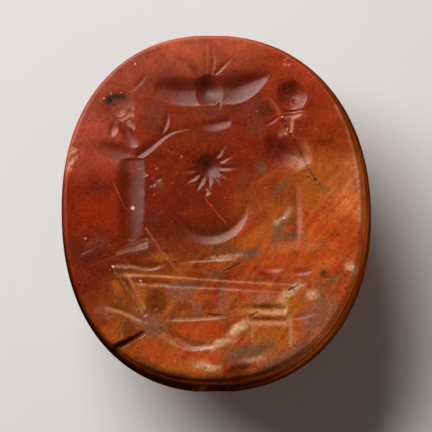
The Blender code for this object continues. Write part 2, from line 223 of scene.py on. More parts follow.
def groove_depth(points, cut):
    """Depth of one groove at each point."""
    path = cut["path"]
    step = np.diff(path, axis=0)
    length = np.hypot(step[:, 0], step[:, 1])
    along = step / length[:, None]
    offset = points[:, None, :] - path[None, :-1, :]
    run = (offset * along).sum(axis=2)
    clamped = np.clip(run, 0, length)
    beyond = (run - clamped) * cut["blunt"]
    side = along[None, :, 0] * offset[:, :, 1] - along[None, :, 1] * offset[:, :, 0]
    distance = np.hypot(side, beyond)
    nearest = distance.argmin(axis=1)
    row = np.arange(len(points))
    travelled = np.concatenate([[0], np.cumsum(length)])
    t = (travelled[nearest] + clamped[row, nearest]) / travelled[-1]
    half = through_three(cut["width"], t) / 2 + 1e-6
    lateral = side[row, nearest] / half - cut["skew"]
    room = np.where(lateral > 0, 1 - cut["skew"], 1 + cut["skew"])
    across = np.hypot(lateral / room, beyond[row, nearest] / half)
    section = 1 - across ** cut["wall"]
    for rim, chosen in (("left", lateral > 0), ("right", lateral <= 0)):
        if rim in cut["soft"]:
            section = np.where(chosen & (section > 0), np.maximum(section, 0) ** FADE, section)
    return through_three(cut["depth"], t) * section


def hollow_depth(points, cut):
    """Depth of one drilled hollow at each point."""
    distance = np.hypot(*(points - np.array(cut["centre"])).T)
    marks = cut["rings"] * np.cos(distance * 2 * math.pi / RING_MARK_PITCH) * (distance < cut["radius"] * 0.9)
    return cut["depth"] * (1 - (distance / cut["radius"]) ** cut["wall"]) + marks


def near(points, cut, margin):
    """Which points can be inside a cut."""
    if cut["kind"] == "hollow":
        reach = cut["radius"] + margin
        low, high = np.array(cut["centre"]) - reach, np.array(cut["centre"]) + reach
    else:
        reach = max(cut["width"]) / 2 * max(1, 1 / cut["blunt"]) + margin
        low, high = cut["path"].min(axis=0) - reach, cut["path"].max(axis=0) + reach
    return ((points >= low) & (points <= high)).all(axis=1)


def carved_depth(points, cuts):
    """The deepest cut at each point, with its rims worn round."""
    deepest = np.full(len(points), UNCUT)
    for cut in cuts:
        chosen = np.flatnonzero(near(points, cut, RIM_REACH))
        if len(chosen):
            depth = hollow_depth if cut["kind"] == "hollow" else groove_depth
            deepest[chosen] = np.maximum(deepest[chosen], depth(points[chosen], cut))
    return (deepest + np.sqrt(deepest ** 2 + RIM_WEAR ** 2)) / 2


# ---------------------------------------------------------------- the engraved scene

DISC_CENTRE = (-0.17, 7.03)
STAR_CENTRE = (-0.2, 2.4)
# Each ray: (degrees from +X, how far its tip reaches from the star's centre, depth)
STAR_RAYS = ((53, 1.75, 0.055), (27, 1.7, 0.05), (-2, 1.85, 0.055), (-30, 1.6, 0.06), (-58, 1.4, 0.07),
             (-88, 1.4, 0.075), (-118, 1.75, 0.07), (-146, 1.85, 0.06), (-171, 1.7, 0.05), (166, 1.5, 0.035),
             (148, 1.6, 0.03), (128, 1.3, 0.03), (108, 1.3, 0.03), (86, 1.5, 0.04))
STAR_HOLLOW_RADIUS = 0.86
STAR_RAY_ROOT = 0.5
CRESCENT_CENTRE = (-0.2, 0.58)
CRESCENT_RADIUS = 2.26


def winged_disc():
    """The sun disc between two spread wings, with a tail below and plumes above."""
    x, y = DISC_CENTRE
    return [
        groove((x, y + 0.04), (x, y - 0.04), width=2.5, depth=0.42, skew=-0.15, blunt=1.35, wall=1.4),
        groove((-3.2, 7.15), (-2.2, 7.0), (-0.6, 6.96), width=(1.1, 1.76, 1.72), depth=(0.09, 0.24, 0.2),
               skew=0.05, blunt=2.5, wall=1.5, soft="left"),
        groove((0.35, 7.0), (1.5, 7.15), (2.6, 7.56), (3.3, 7.85), width=(1.7, 1.74, 0.35),
               depth=(0.15, 0.24, 0.012), skew=0.05, wall=1.5, soft="left"),
        groove((-0.1, 6.1), (0.1, 5.2), width=(0.9, 1.2, 1.6), depth=(0.03, 0.05, 0.06), blunt=2.0,
               soft="left right"),
        groove((0.4, 6.8), (0.42, 6.1), (0.36, 5.6), width=(0.7, 0.55, 0.3), depth=(0.12, 0.055, 0.01),
               soft="left right"),
        groove((-0.85, 4.86), (0.1, 4.95), (0.9, 5.1), width=(0.6, 1.1, 0.9), depth=(0.03, 0.12, 0.09),
               skew=0.1, blunt=1.5, wall=1.5, soft="left right"),
        groove((-0.06, 9.9), (0.06, 8.95), (-0.04, 8.0), width=(0.14, 0.28, 0.36), depth=(0.008, 0.035, 0.05),
               skew=0.2),
        groove((0.14, 7.95), (1.15, 8.92), width=(0.3, 0.26, 0.1), depth=(0.055, 0.045, 0.01), skew=-0.2),
        groove((-1.7, 8.85), (-1.15, 8.6), (-0.72, 7.85), width=(0.4, 0.75, 0.9), depth=(0.015, 0.06, 0.1),
               blunt=1.2, soft="left right"),
    ]


def star():
    """A cone-shaped drilling with thin wedge-shaped rays that run out from it."""
    x, y = STAR_CENTRE
    cuts = [hollow(x, y, STAR_HOLLOW_RADIUS, 0.3, wall=1.8)]
    for degrees, reach, depth in STAR_RAYS:
        out = np.array([math.cos(math.radians(degrees)), math.sin(math.radians(degrees))])
        root = out * STAR_RAY_ROOT + STAR_CENTRE
        tip = out * reach + STAR_CENTRE
        cuts.append(groove(root, tip, width=(0.52, 0.36, 0.03), depth=(2.6 * depth, depth, 0.003), wall=1.4))
    return cuts


def crescent():
    """The moon below the star, thickest at the bottom."""
    x, y = CRESCENT_CENTRE
    arc = [(x + CRESCENT_RADIUS * math.cos(math.radians(a)), y + CRESCENT_RADIUS * math.sin(math.radians(a)))
           for a in range(198, 355, 13)]
    return [groove(*arc, width=(0.4, 1.25, 0.5), depth=(0.012, 0.17, 0.02), wall=1.6, soft="left right")]


def left_attendant():
    """A winged figure, built up from drill hollows for the head and fat wheel cuts for the body."""
    return [
        hollow(-5.54, 6.17, 0.96, 0.17, wall=1.6),
        hollow(-5.47, 5.84, 0.64, 0.25, rings=0.004, wall=1.4),
        groove((-5.25, 6.12), (-4.95, 5.82), (-5.05, 5.5), (-5.4, 5.32), (-5.8, 5.4),
               width=(0.3, 0.62, 0.4), depth=(0.1, 0.18, 0.12), skew=-0.3, wall=1.3),
        groove((-5.82, 5.1), (-5.93, 4.5), width=(0.5, 0.66, 0.5), depth=(0.07, 0.12, 0.07), skew=-0.2,
               blunt=1.2, wall=1.5, soft="right"),
        groove((-5.13, 4.95), (-4.81, 5.11), width=(0.9, 1.0, 1.0), depth=(0.12, 0.16, 0.14), skew=0.5,
               blunt=2.0, wall=1.2),
        groove((-5.4, 5.2), (-4.55, 3.55), width=(0.5, 0.9, 1.0), depth=(0.12, 0.18, 0.005), blunt=1.6,
               wall=1.5),
        groove((-6.7, 3.75), (-5.8, 3.45), (-4.7, 3.2), width=(0.6, 1.35, 1.1), depth=(0.04, 0.14, 0.14),
               blunt=1.3, wall=1.5, soft="left"),
        groove((-5.25, 2.8), (-3.9, 3.62), (-2.95, 4.3), (-2.25, 4.62), (-1.3, 4.75),
               width=(1.0, 0.62, 0.1), depth=(0.14, 0.09, 0.008), skew=-0.35, wall=1.3, soft="left"),
        groove((-2.64, 5.75), (-2.7, 5.15), (-2.9, 4.6), (-3.25, 4.0), width=(0.2, 0.36, 0.24),
               depth=(0.03, 0.06, 0.02)),
        groove((-4.84, 2.85), (-4.76, -1.75), width=(1.66, 1.62, 1.35), depth=(0.22, 0.2, 0.06), skew=-0.05,
               wall=1.8, soft="right"),
        groove((-6.4, -3.0), (-5.15, -2.5), (-4.0, -2.1), width=(0.1, 0.4, 0.7), depth=(0.01, 0.04, 0.07),
               blunt=1.5),
        groove((-5.6, -2.35), (-3.9, -1.75), width=(0.1, 0.3, 0.4), depth=(0.01, 0.03, 0.05)),
        groove((-7.75, -2.62), (-6.5, -2.1), width=(0.34, 0.2, 0.08), depth=(0.035, 0.02, 0.01)),
    ]


def right_attendant():
    """The facing figure, cut in the same way, and more worn."""
    return [
        hollow(4.72, 6.62, 0.9, 0.33, rings=0.006, wall=1.5),
        hollow(4.84, 6.34, 0.44, 0.33, wall=1.2),
        groove((4.15, 5.65), (4.75, 5.66), (5.3, 5.75), width=(0.3, 0.36, 0.2), depth=(0.06, 0.1, 0.02),
               wall=1.3),
        groove((4.2, 5.42), (4.75, 5.42), (5.3, 5.55), width=(0.3, 0.4, 0.2), depth=(0.05, 0.1, 0.02),
               skew=0.2, wall=1.3),
        groove((4.66, 5.35), (4.64, 4.5), width=(0.3, 0.34, 0.3), depth=(0.05, 0.08, 0.04), skew=-0.2,
               wall=1.3),
        groove((4.2, 4.6), (4.35, 4.3), width=(0.3, 0.4, 0.3), depth=(0.04, 0.07, 0.03), skew=-0.2,
               blunt=1.2),
        groove((3.75, 3.5), (4.4, 3.2), (5.05, 2.9), width=(1.7, 2.0, 1.7), depth=(0.2, 0.28, 0.2),
               blunt=0.95, wall=1.4, soft="right"),
        groove((4.9, 1.8), (4.96, -2.0), width=(0.8, 1.0, 0.8), depth=(0.02, 0.12, 0.06), skew=0.1, blunt=1.5,
               wall=1.4, soft="left right"),
        groove((3.1, 4.85), (3.6, 5.12), (3.95, 5.4), width=(0.08, 0.22, 0.12), depth=(0.01, 0.035, 0.015)),
        groove((2.6, 5.05), (2.82, 4.0), (3.25, 3.15), (3.72, 2.7), width=(0.15, 0.32, 0.2),
               depth=(0.015, 0.045, 0.02)),
    ]


def ground():
    """The ground lines under the figures, the two ruled lines of the base, and a slanting cut."""
    dash = {"width": (0.24, 0.56, 0.24), "depth": (0.01, 0.075, 0.01), "skew": -0.1, "wall": 1.3}
    ruled = {"width": (0.44, 0.48, 0.4), "skew": -0.25, "wall": 1.3}
    return [
        groove((-2.0, -3.17), (-0.4, -3.06), (1.35, -3.02), width=(0.2, 0.36, 0.2), depth=(0.01, 0.05, 0.02),
               skew=-0.3, wall=1.3),
        groove((-5.85, -3.4), (-4.85, -3.44), width=(0.4, 0.4, 0.2), depth=(0.05, 0.045, 0.01), skew=-0.2),
        groove((-4.75, -3.42), (-3.75, -3.54), (-2.9, -3.4), width=(0.24, 0.46, 0.24),
               depth=(0.01, 0.065, 0.01), skew=-0.1),
        groove((2.72, -3.6), (3.5, -3.66), (4.25, -3.62), **dash),
        groove((4.4, -3.8), (5.15, -3.86), (5.95, -3.8), **dash),
        groove((-5.55, -3.86), (-3.1, -3.9), (0.75, -4.22), (5.35, -4.55), depth=(0.035, 0.06, 0.035),
               **ruled),
        groove((-4.4, -4.42), (0.45, -4.68), (4.2, -4.98), depth=(0.04, 0.06, 0.04), **ruled),
        groove((-5.5, -3.6), (-5.15, -4.3), (-4.45, -5.45), (-3.95, -6.35), width=(0.7, 0.62, 0.4),
               depth=(0.05, 0.13, 0.05), wall=1.3),
        groove((0.38, -4.85), (0.44, -6.4), width=0.28, depth=(0.02, 0.025, 0.01)),
    ]


def exergue():
    """The boat-like figure below the base lines."""
    return [
        groove((2.1, -6.02), (4.3, -6.08), width=(0.45, 0.64, 0.6), depth=(0.03, 0.1, 0.08), skew=0.1,
               wall=1.3),
        groove((2.25, -6.72), (4.45, -6.78), width=(0.45, 0.6, 0.56), depth=(0.03, 0.09, 0.07), skew=0.1,
               wall=1.3),
        groove((4.55, -6.35), (4.6, -8.2), width=(0.36, 0.42, 0.24), depth=(0.06, 0.07, 0.02), skew=-0.3),
        groove((4.8, -6.62), (6.1, -6.3), width=(0.25, 0.36, 0.12), depth=(0.03, 0.045, 0.01)),
        groove((-2.75, -6.58), (-1.0, -6.53), (0.7, -6.45), width=(0.3, 0.42, 0.3), depth=(0.03, 0.06, 0.03),
               skew=-0.3, wall=1.3),
        groove((-2.6, -6.95), (-2.05, -7.7), (-1.3, -8.15), (0.0, -8.2), width=(0.3, 0.7, 0.3),
               depth=(0.05, 0.15, 0.03), wall=1.4),
        groove((-2.2, -6.95), (-1.75, -7.35), width=0.2, depth=(0.03, 0.03, 0.01)),
        groove((0.75, -7.5), (1.5, -6.8), (2.1, -6.4), width=(0.2, 0.4, 0.2), depth=(0.01, 0.03, 0.015)),
        groove((-6.15, -5.85), (-5.15, -6.1), (-3.9, -6.75), width=(0.2, 0.5, 0.3), depth=(0.03, 0.09, 0.03),
               wall=1.4),
    ]


# Strokes too fine for the solid: (points, width, depth)
FINE_STROKES = [
    ((-0.34, 8.1), (-0.36, 9.9), 0.14, (0.025, 0.02, 0.01)),
    ((1.45, 8.6), (1.42, 9.8), 0.12, (0.004, 0.009, 0.004)),
    ((1.83, 9.3), (2.09, 8.88), 0.12, (0.01, 0.02, 0.008)),
    ((-2.62, 5.6), (-1.15, 5.58), 0.12, (0.012, 0.01, 0.004)),
    ((-3.15, 6.0), (-3.6, 4.7), 0.3, 0.01),
    ((-3.6, 6.2), (-4.1, 4.7), 0.3, 0.01),
    ((-5.0, 6.95), (-4.4, 7.4), (-3.9, 8.0), (0.12, 0.26, 0.14), (0.01, 0.025, 0.01)),
    ((1.7, 4.0), (2.6, 3.4), (3.35, 2.85), (0.2, 0.5, 0.3), (0.01, 0.025, 0.015)),
    ((-7.85, -2.75), (-7.5, -2.2), (-7.2, -1.7), 0.16, 0.015),
    ((-7.3, -3.35), (-6.45, -3.0), 0.12, 0.012),
    ((-7.1, -3.05), (-6.3, -2.65), 0.12, 0.012),
    ((-6.2, -2.8), (-4.4, -1.85), 0.14, 0.01),
    ((-5.9, -3.05), (-4.3, -2.45), 0.14, 0.01),
    ((3.95, -4.6), (4.02, -5.5), 0.24, (0.01, 0.02, 0.01)),
    ((2.35, -6.95), (2.3, -8.2), 0.2, (0.015, 0.015, 0.01)),
    ((-5.25, -6.6), (-5.4, -8.0), 0.22, (0.02, 0.025, 0.01)),
    ((4.75, -6.95), (4.85, -7.4), 0.2, 0.02),
]


def fine_strokes():
    """Feather lines, hair lines and slips of the wheel."""
    return [groove(*path, width=width, depth=depth) for *path, width, depth in FINE_STROKES]


def edge_slot():
    """The deep dark slot that breaks the edge at the lower left."""
    return [groove((-6.45, -8.5), (-5.4, -8.08), (-4.05, -7.4), width=(0.56, 0.42, 0.3),
                   depth=(0.32, 0.3, 0.12))]


# ---------------------------------------------------------------- wear

# Small losses at the edge of the face, beside the engraving and along the crack: (x, y, radius, depth)
# Chips: (x, y, radius, depth)
CHIPS = [
    (-8.35, 3.6, 0.36, 0.09), (-8.5, 2.9, 0.3, 0.1), (-8.15, 3.2, 0.25, 0.04), (4.25, 8.85, 0.2, 0.04),
    (4.45, 8.55, 0.18, 0.04), (-0.38, 0.86, 0.2, 0.045), (-1.85, 3.1, 0.14, 0.025),
    (-2.4, 3.42, 0.16, 0.025), (-3.95, 2.05, 0.16, 0.05), (-3.5, 1.45, 0.2, 0.05),
    (-3.35, 2.45, 0.14, 0.04), (-3.15, 1.75, 0.15, 0.05), (-3.6, 1.85, 0.1, 0.03), (4.3, -0.65, 0.14, 0.03),
    (-7.55, -2.35, 0.2, 0.03), (6.55, -4.0, 0.17, 0.03), (6.75, -4.25, 0.15, 0.03),
    (5.15, -4.62, 0.12, 0.03), (3.1, 1.2, 0.13, 0.03), (-3.35, -5.9, 0.2, 0.04), (-2.35, -7.75, 0.16, 0.03),
]


def chips():
    """Small losses at the edge of the face, beside the engraving and along the crack."""
    return [hollow(*chip) for chip in CHIPS]


CRACK = [(4.08, 5.55), (4.66, 4.2), (5.19, 3.26), (5.49, 2.67), (5.78, 2.08), (6.14, 1.55), (6.6, 0.96)]
CRACK_GAPS = [((4.18, 5.2), (4.26, 4.95)), ((4.33, 4.85), (4.42, 4.65)), ((4.64, 4.3), (4.7, 4.12)),
              ((4.85, 3.95), (4.93, 3.82)), ((5.12, 3.4), (5.26, 3.1)), ((5.45, 2.78), (5.55, 2.6)),
              ((6.08, 1.62), (6.18, 1.48))]


def crack():
    """The thin crack beside the right figure, open in places."""
    return ([groove(*CRACK, width=0.1, depth=0.025)]
            + [groove(*gap, width=0.2, depth=0.07) for gap in CRACK_GAPS])


# ---------------------------------------------------------------- the mesh

def lattice(spacing):
    """Staggered rows of points over the whole face."""
    rows = []
    for index, y in enumerate(np.arange(-FACE_HALF_LENGTH, FACE_HALF_LENGTH, spacing * math.sqrt(0.75))):
        xs = np.arange(-FACE_HALF_WIDTH, FACE_HALF_WIDTH, spacing) + spacing / 2 * (index % 2)
        rows.append(np.stack([xs, np.full(len(xs), y)], axis=1))
    return np.concatenate(rows)


def line_points(cuts):
    """Points along the deepest line and the rims of each groove."""
    found = [np.zeros((0, 2))]
    for cut in cuts:
        if cut["kind"] == "groove":
            path = resampled(cut["path"], LINE_SPACING)
            along = np.gradient(path, axis=0)
            along /= np.hypot(*along.T)[:, None]
            leftward = np.stack([-along[:, 1], along[:, 0]], axis=1)
            half = through_three(cut["width"], np.linspace(0, 1, len(path)))[:, None] / 2
            found += [path + leftward * half * share for share in (cut["skew"], 1, -1)]
    return np.concatenate(found)


def spaced(points, least):
    """The points, without those that come too close to an earlier one."""
    tree = KDTree(len(points))
    for index, (x, y) in enumerate(points.tolist()):
        tree.insert((x, y, 0), index)
    tree.balance()
    dropped = np.zeros(len(points), bool)
    for index, (x, y) in enumerate(points.tolist()):
        if not dropped[index]:
            for _, other, _ in tree.find_range((x, y, 0), least):
                dropped[other] |= other > index
    return points[~dropped]


def filled(edge, inner):
    """Triangles between a closed edge and the points inside it: (points, triangles)."""
    loop = [(i, (i + 1) % len(edge)) for i in range(len(edge))]
    flat = np.concatenate([edge, inner])
    placed, _, faces, *_ = delaunay_2d_cdt([Vector(point) for point in flat.tolist()], loop, [], 1, 1e-7)
    return np.array([tuple(point) for point in placed]), [tuple(face) for face in faces]


def within(points, inset):
    """Which points lie inside the outline of the face by at least the inset."""
    return np.hypot(*points.T) < oval_radius(np.arctan2(points[:, 1], points[:, 0])) - inset


def touched(points, cuts, margin):
    """Which points are in a cut or within a margin of one."""
    found = np.zeros(len(points), bool)
    for x, y in ((0, 0), (margin, 0), (-margin, 0), (0, margin), (0, -margin)):
        found |= carved_depth(points + (x, y), cuts) > 0.001
    return found


SURFACE_WAVE = 0.010       # how far the worn face rises and falls in broad waves
SURFACE_RIPPLE = 0.003     # and in small ripples
SURFACE_LOSS = 0.013       # it is set this much lower, so that no wave stands above the solid
CUT_MARGIN = 0.1           # the fine mesh runs on this far round a cut


def surface_height(points, height, cuts):
    """Where the surface ends up: at its own height, or at the bottom of the deepest cut."""
    uneven = SURFACE_WAVE * cloud(points, 2.2, 5, 3) + SURFACE_RIPPLE * cloud(points, 0.35, 9, 2)
    carved = THICKNESS - carved_depth(points, cuts)
    lowered = np.minimum(height, carved)
    return lowered + (uneven - SURFACE_LOSS) * (height > THICKNESS - GIRTH_DEPTH / 2)


def face_part(cuts, edge):
    """The face inside the worn arris: (points, triangles)."""
    loose, close = lattice(PLAIN_SPACING), lattice(CARVED_SPACING)
    loose = loose[within(loose, ARRIS_RADIUS + PLAIN_SPACING * 0.7)]
    close = close[within(close, ARRIS_RADIUS + PLAIN_SPACING * 0.5)]
    lines = line_points(cuts)
    lines = lines[within(lines, ARRIS_RADIUS + PLAIN_SPACING * 0.5)]
    uncut = loose[~touched(loose, cuts, CUT_MARGIN)]
    carved = close[touched(close, cuts, CUT_MARGIN)]
    return filled(edge, spaced(np.concatenate([lines, uncut, carved]), LINE_SPACING * 0.6))


def flat_part(edge):
    """The resting flat: (points, triangles). The edge's own points come first."""
    inner = lattice(FLAT_SPACING)
    reach = np.hypot(*inner.T) / oval_radius(np.arctan2(inner[:, 1], inner[:, 0]))
    edge_reach = np.hypot(*edge[0]) / oval_radius(np.zeros(1))[0]
    return filled(edge, inner[reach < edge_reach * 0.93])


def band(first, second, count):
    """Quads between two rings of points, from the number of each ring's first point."""
    following = [(i, (i + 1) % count) for i in range(count)]
    return [(first + i, second + i, second + j, first + j) for i, j in following]


def new_mesh(name, points, faces):
    mesh = bpy.data.meshes.new(name)
    mesh.from_pydata(points.tolist(), [], faces)
    return mesh


def stone_mesh(cuts):
    """The closed stone before the string hole is drilled."""
    rings = body_rings()
    face_points, faces = face_part(cuts, rings[0][0])
    points = [np.column_stack([face_points, surface_height(face_points, THICKNESS, cuts)])]
    above, start = 0, len(face_points)
    for ring, height in rings[1:]:
        level = np.full(RING_POINTS, height)
        if height > THICKNESS - GIRTH_DEPTH:
            level = surface_height(ring, level, cuts)
        points.append(np.column_stack([ring, level]))
        faces += band(above, start, RING_POINTS)
        above, start = start, start + RING_POINTS
    flat_points, flat_faces = flat_part(rings[-1][0])
    inner_count = len(flat_points) - RING_POINTS
    points.append(np.column_stack([flat_points[RING_POINTS:], np.zeros(inner_count)]))
    moved = np.concatenate([above + np.arange(RING_POINTS), start + np.arange(inner_count)])
    faces += [tuple(int(moved[i]) for i in reversed(face)) for face in flat_faces]
    points = np.concatenate(points)
    points[:, 2] = np.maximum(points[:, 2], 0)
    return new_mesh("stone", points, faces)


def bore_profile():
    """(y, radius) from end to end of the string hole. Drilled from both ends, it narrows a trace between."""
    mouth = FACE_HALF_LENGTH + GIRTH_FLARE
    ys = np.linspace(-mouth - CUTTER_OVERRUN, mouth + CUTTER_OVERRUN, BORE_RINGS)
    depth_in = mouth - np.abs(ys)
    flare = np.clip(1 - depth_in / (MOUTH_FLARE_LENGTH + GIRTH_FLARE), 0, 2)
    plain = BORE_RADIUS * (0.93 + 0.07 * np.abs(ys) / mouth)
    return ys, plain + (BORE_MOUTH_RADIUS - BORE_RADIUS) * flare ** 1.3


def bore_mesh():
    """The cutter for the string hole, which is rough inside and chipped at its mouths."""
    ys, radius = bore_profile()
    turn = np.arange(BORE_SIDES) * 2 * math.pi / BORE_SIDES
    grid_turn, grid_y = np.meshgrid(turn, ys)
    wave = np.stack([np.cos(grid_turn) * 1.2, grid_y * 0.8, np.sin(grid_turn) * 1.2], axis=-1)
    rough = cloud(wave.reshape(-1, 3), 0.9, 31, 3).reshape(grid_y.shape)
    near_mouth = np.clip(1 - (FACE_HALF_LENGTH + GIRTH_FLARE - np.abs(grid_y)) / 1.2, 0, 1)
    size = radius[:, None] * (1 + rough * (0.015 + 0.07 * near_mouth))
    points = np.stack([BORE_X + size * np.cos(grid_turn), grid_y,
                       THICKNESS - BORE_DEPTH + size * np.sin(grid_turn)], axis=-1)
    last = (BORE_RINGS - 1) * BORE_SIDES
    faces = []
    for start in range(0, last, BORE_SIDES):
        faces += band(start, start + BORE_SIDES, BORE_SIDES)
    faces.append(tuple(range(BORE_SIDES)))
    faces.append(tuple(reversed(range(last, last + BORE_SIDES))))
    return new_mesh("bore", points.reshape(-1, 3), faces)


def drilled(mesh, cutter_mesh):
    """The mesh with the cutter taken away, as a new object."""
    stone = bpy.data.objects.new("engraved_stone", mesh)
    cutter = bpy.data.objects.new("bore_cutter", cutter_mesh)
    for thing in (stone, cutter):
        bpy.context.scene.collection.objects.link(thing)
    cut = stone.modifiers.new("string_hole", "BOOLEAN")
    cut.operation, cut.solver, cut.object = "DIFFERENCE", "EXACT", cutter
    depsgraph = bpy.context.evaluated_depsgraph_get()
    result = bpy.data.meshes.new_from_object(stone.evaluated_get(depsgraph))
    stone.modifiers.clear()
    stone.data = result
    bpy.data.objects.remove(cutter)
    return stone


def fit_to_solid(stone):
    """Scales millimetres to metres and sets the stone in the CAD node's box. Gives its points, in mm."""
    low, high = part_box(NODE)
    co = np.zeros(len(stone.data.vertices) * 3)
    stone.data.vertices.foreach_get("co", co)
    co = co.reshape(-1, 3)
    own_low, own_high = co.min(axis=0), co.max(axis=0)
    centre = (own_low + own_high) / 2
    room = np.array(high - low) / MM
    share = np.minimum(1.0, room / (own_high - own_low))
    placed = (co - centre) * share
    placed[:, 2] += room[2] / 2 - (room[2] - (own_high[2] - own_low[2]) * share[2]) / 2
    placed[:, :2] += (np.array(low + high) / 2 / MM)[:2]
    stone.data.vertices.foreach_set("co", (placed * MM).ravel())
    return co


# ---------------------------------------------------------------- colour

def paint(red, green, blue):
    """A named colour, given as it is seen on a screen, in the renderer's linear values."""
    seen = np.array([red, green, blue]) / 255
    return np.where(seen <= 0.04045, seen / 12.92, ((seen + 0.055) / 1.055) ** 2.4)


# Broad soft washes of colour: (x, y, reach, colour). The two dark washes at the bottom edge are painted
# shade, and the bright orange one at the right edge is painted light.
WASHES = [
    (-2.2, 7.1, 1.2, (120, 42, 18)), (0.0, 6.9, 0.9, (98, 32, 14)), (1.9, 7.3, 1.2, (120, 42, 18)),
    # (0.9, -9.8) here and (-2.3, -10.0) below: painted shade where the rounded bottom edge turns from the
    # light
    (-2.0, -3.7, 1.2, (102, 42, 16)), (-1.4, -6.2, 1.2, (112, 46, 18)), (0.9, -9.8, 0.8, (70, 20, 4)),
    (-2.3, -10.0, 0.7, (70, 24, 4)), (0.0, 9.6, 2.0, (182, 76, 42)), (0.2, 8.3, 1.4, (104, 34, 14)),
    (-5.2, 7.4, 2.0, (152, 56, 26)), (-7.4, 4.2, 1.6, (170, 68, 46)), (-7.2, 0.3, 1.6, (138, 36, 6)),
    (-7.0, -3.6, 1.8, (112, 32, 6)), (-2.2, 5.6, 1.8, (132, 44, 16)), (1.6, 5.4, 1.8, (128, 40, 16)),
    (-1.2, 1.2, 2.2, (122, 34, 6)), (2.2, 3.0, 1.6, (126, 36, 6)), (4.8, 5.6, 1.8, (140, 42, 14)),
    # (8.5, 0.7): painted light, a bright orange glow on the right edge
    (5.2, 7.8, 1.8, (164, 56, 28)), (7.0, 4.2, 1.4, (150, 54, 12)), (8.5, 0.7, 1.5, (255, 140, 76)),
    (6.2, 1.6, 1.5, (172, 84, 20)), (6.6, -1.8, 1.8, (206, 78, 26)), (3.2, 0.6, 1.6, (154, 66, 22)),
    (3.4, -3.2, 1.8, (184, 66, 20)), (-0.2, -2.4, 1.5, (106, 38, 12)), (-3.0, -1.8, 1.6, (108, 34, 8)),
    (-4.6, -4.6, 1.7, (112, 46, 12)), (-0.2, -5.0, 1.4, (132, 50, 18)), (-4.6, -7.6, 1.7, (122, 44, 10)),
    (-0.4, -8.0, 1.9, (172, 68, 18)), (3.4, -6.6, 1.6, (180, 92, 34)), (6.4, -5.2, 1.5, (160, 80, 44)),
    (4.0, -8.6, 1.4, (140, 76, 44)),
]


def wash_colour(points):
    """The washes blended by distance."""
    warped = points + 0.45 * np.stack([cloud(points, 1.3, 41), cloud(points, 1.3, 47)], axis=1)
    total = np.full((len(points), 3), 1e-5) * paint(150, 58, 32)
    weight = np.full(len(points), 1e-5)
    for x, y, reach, colour in WASHES:
        near_by = np.exp(-((warped[:, 0] - x) ** 2 + (warped[:, 1] - y) ** 2) / reach ** 2 * 1.6)
        total += near_by[:, None] * paint(*colour)
        weight += near_by
    return total / weight[:, None]
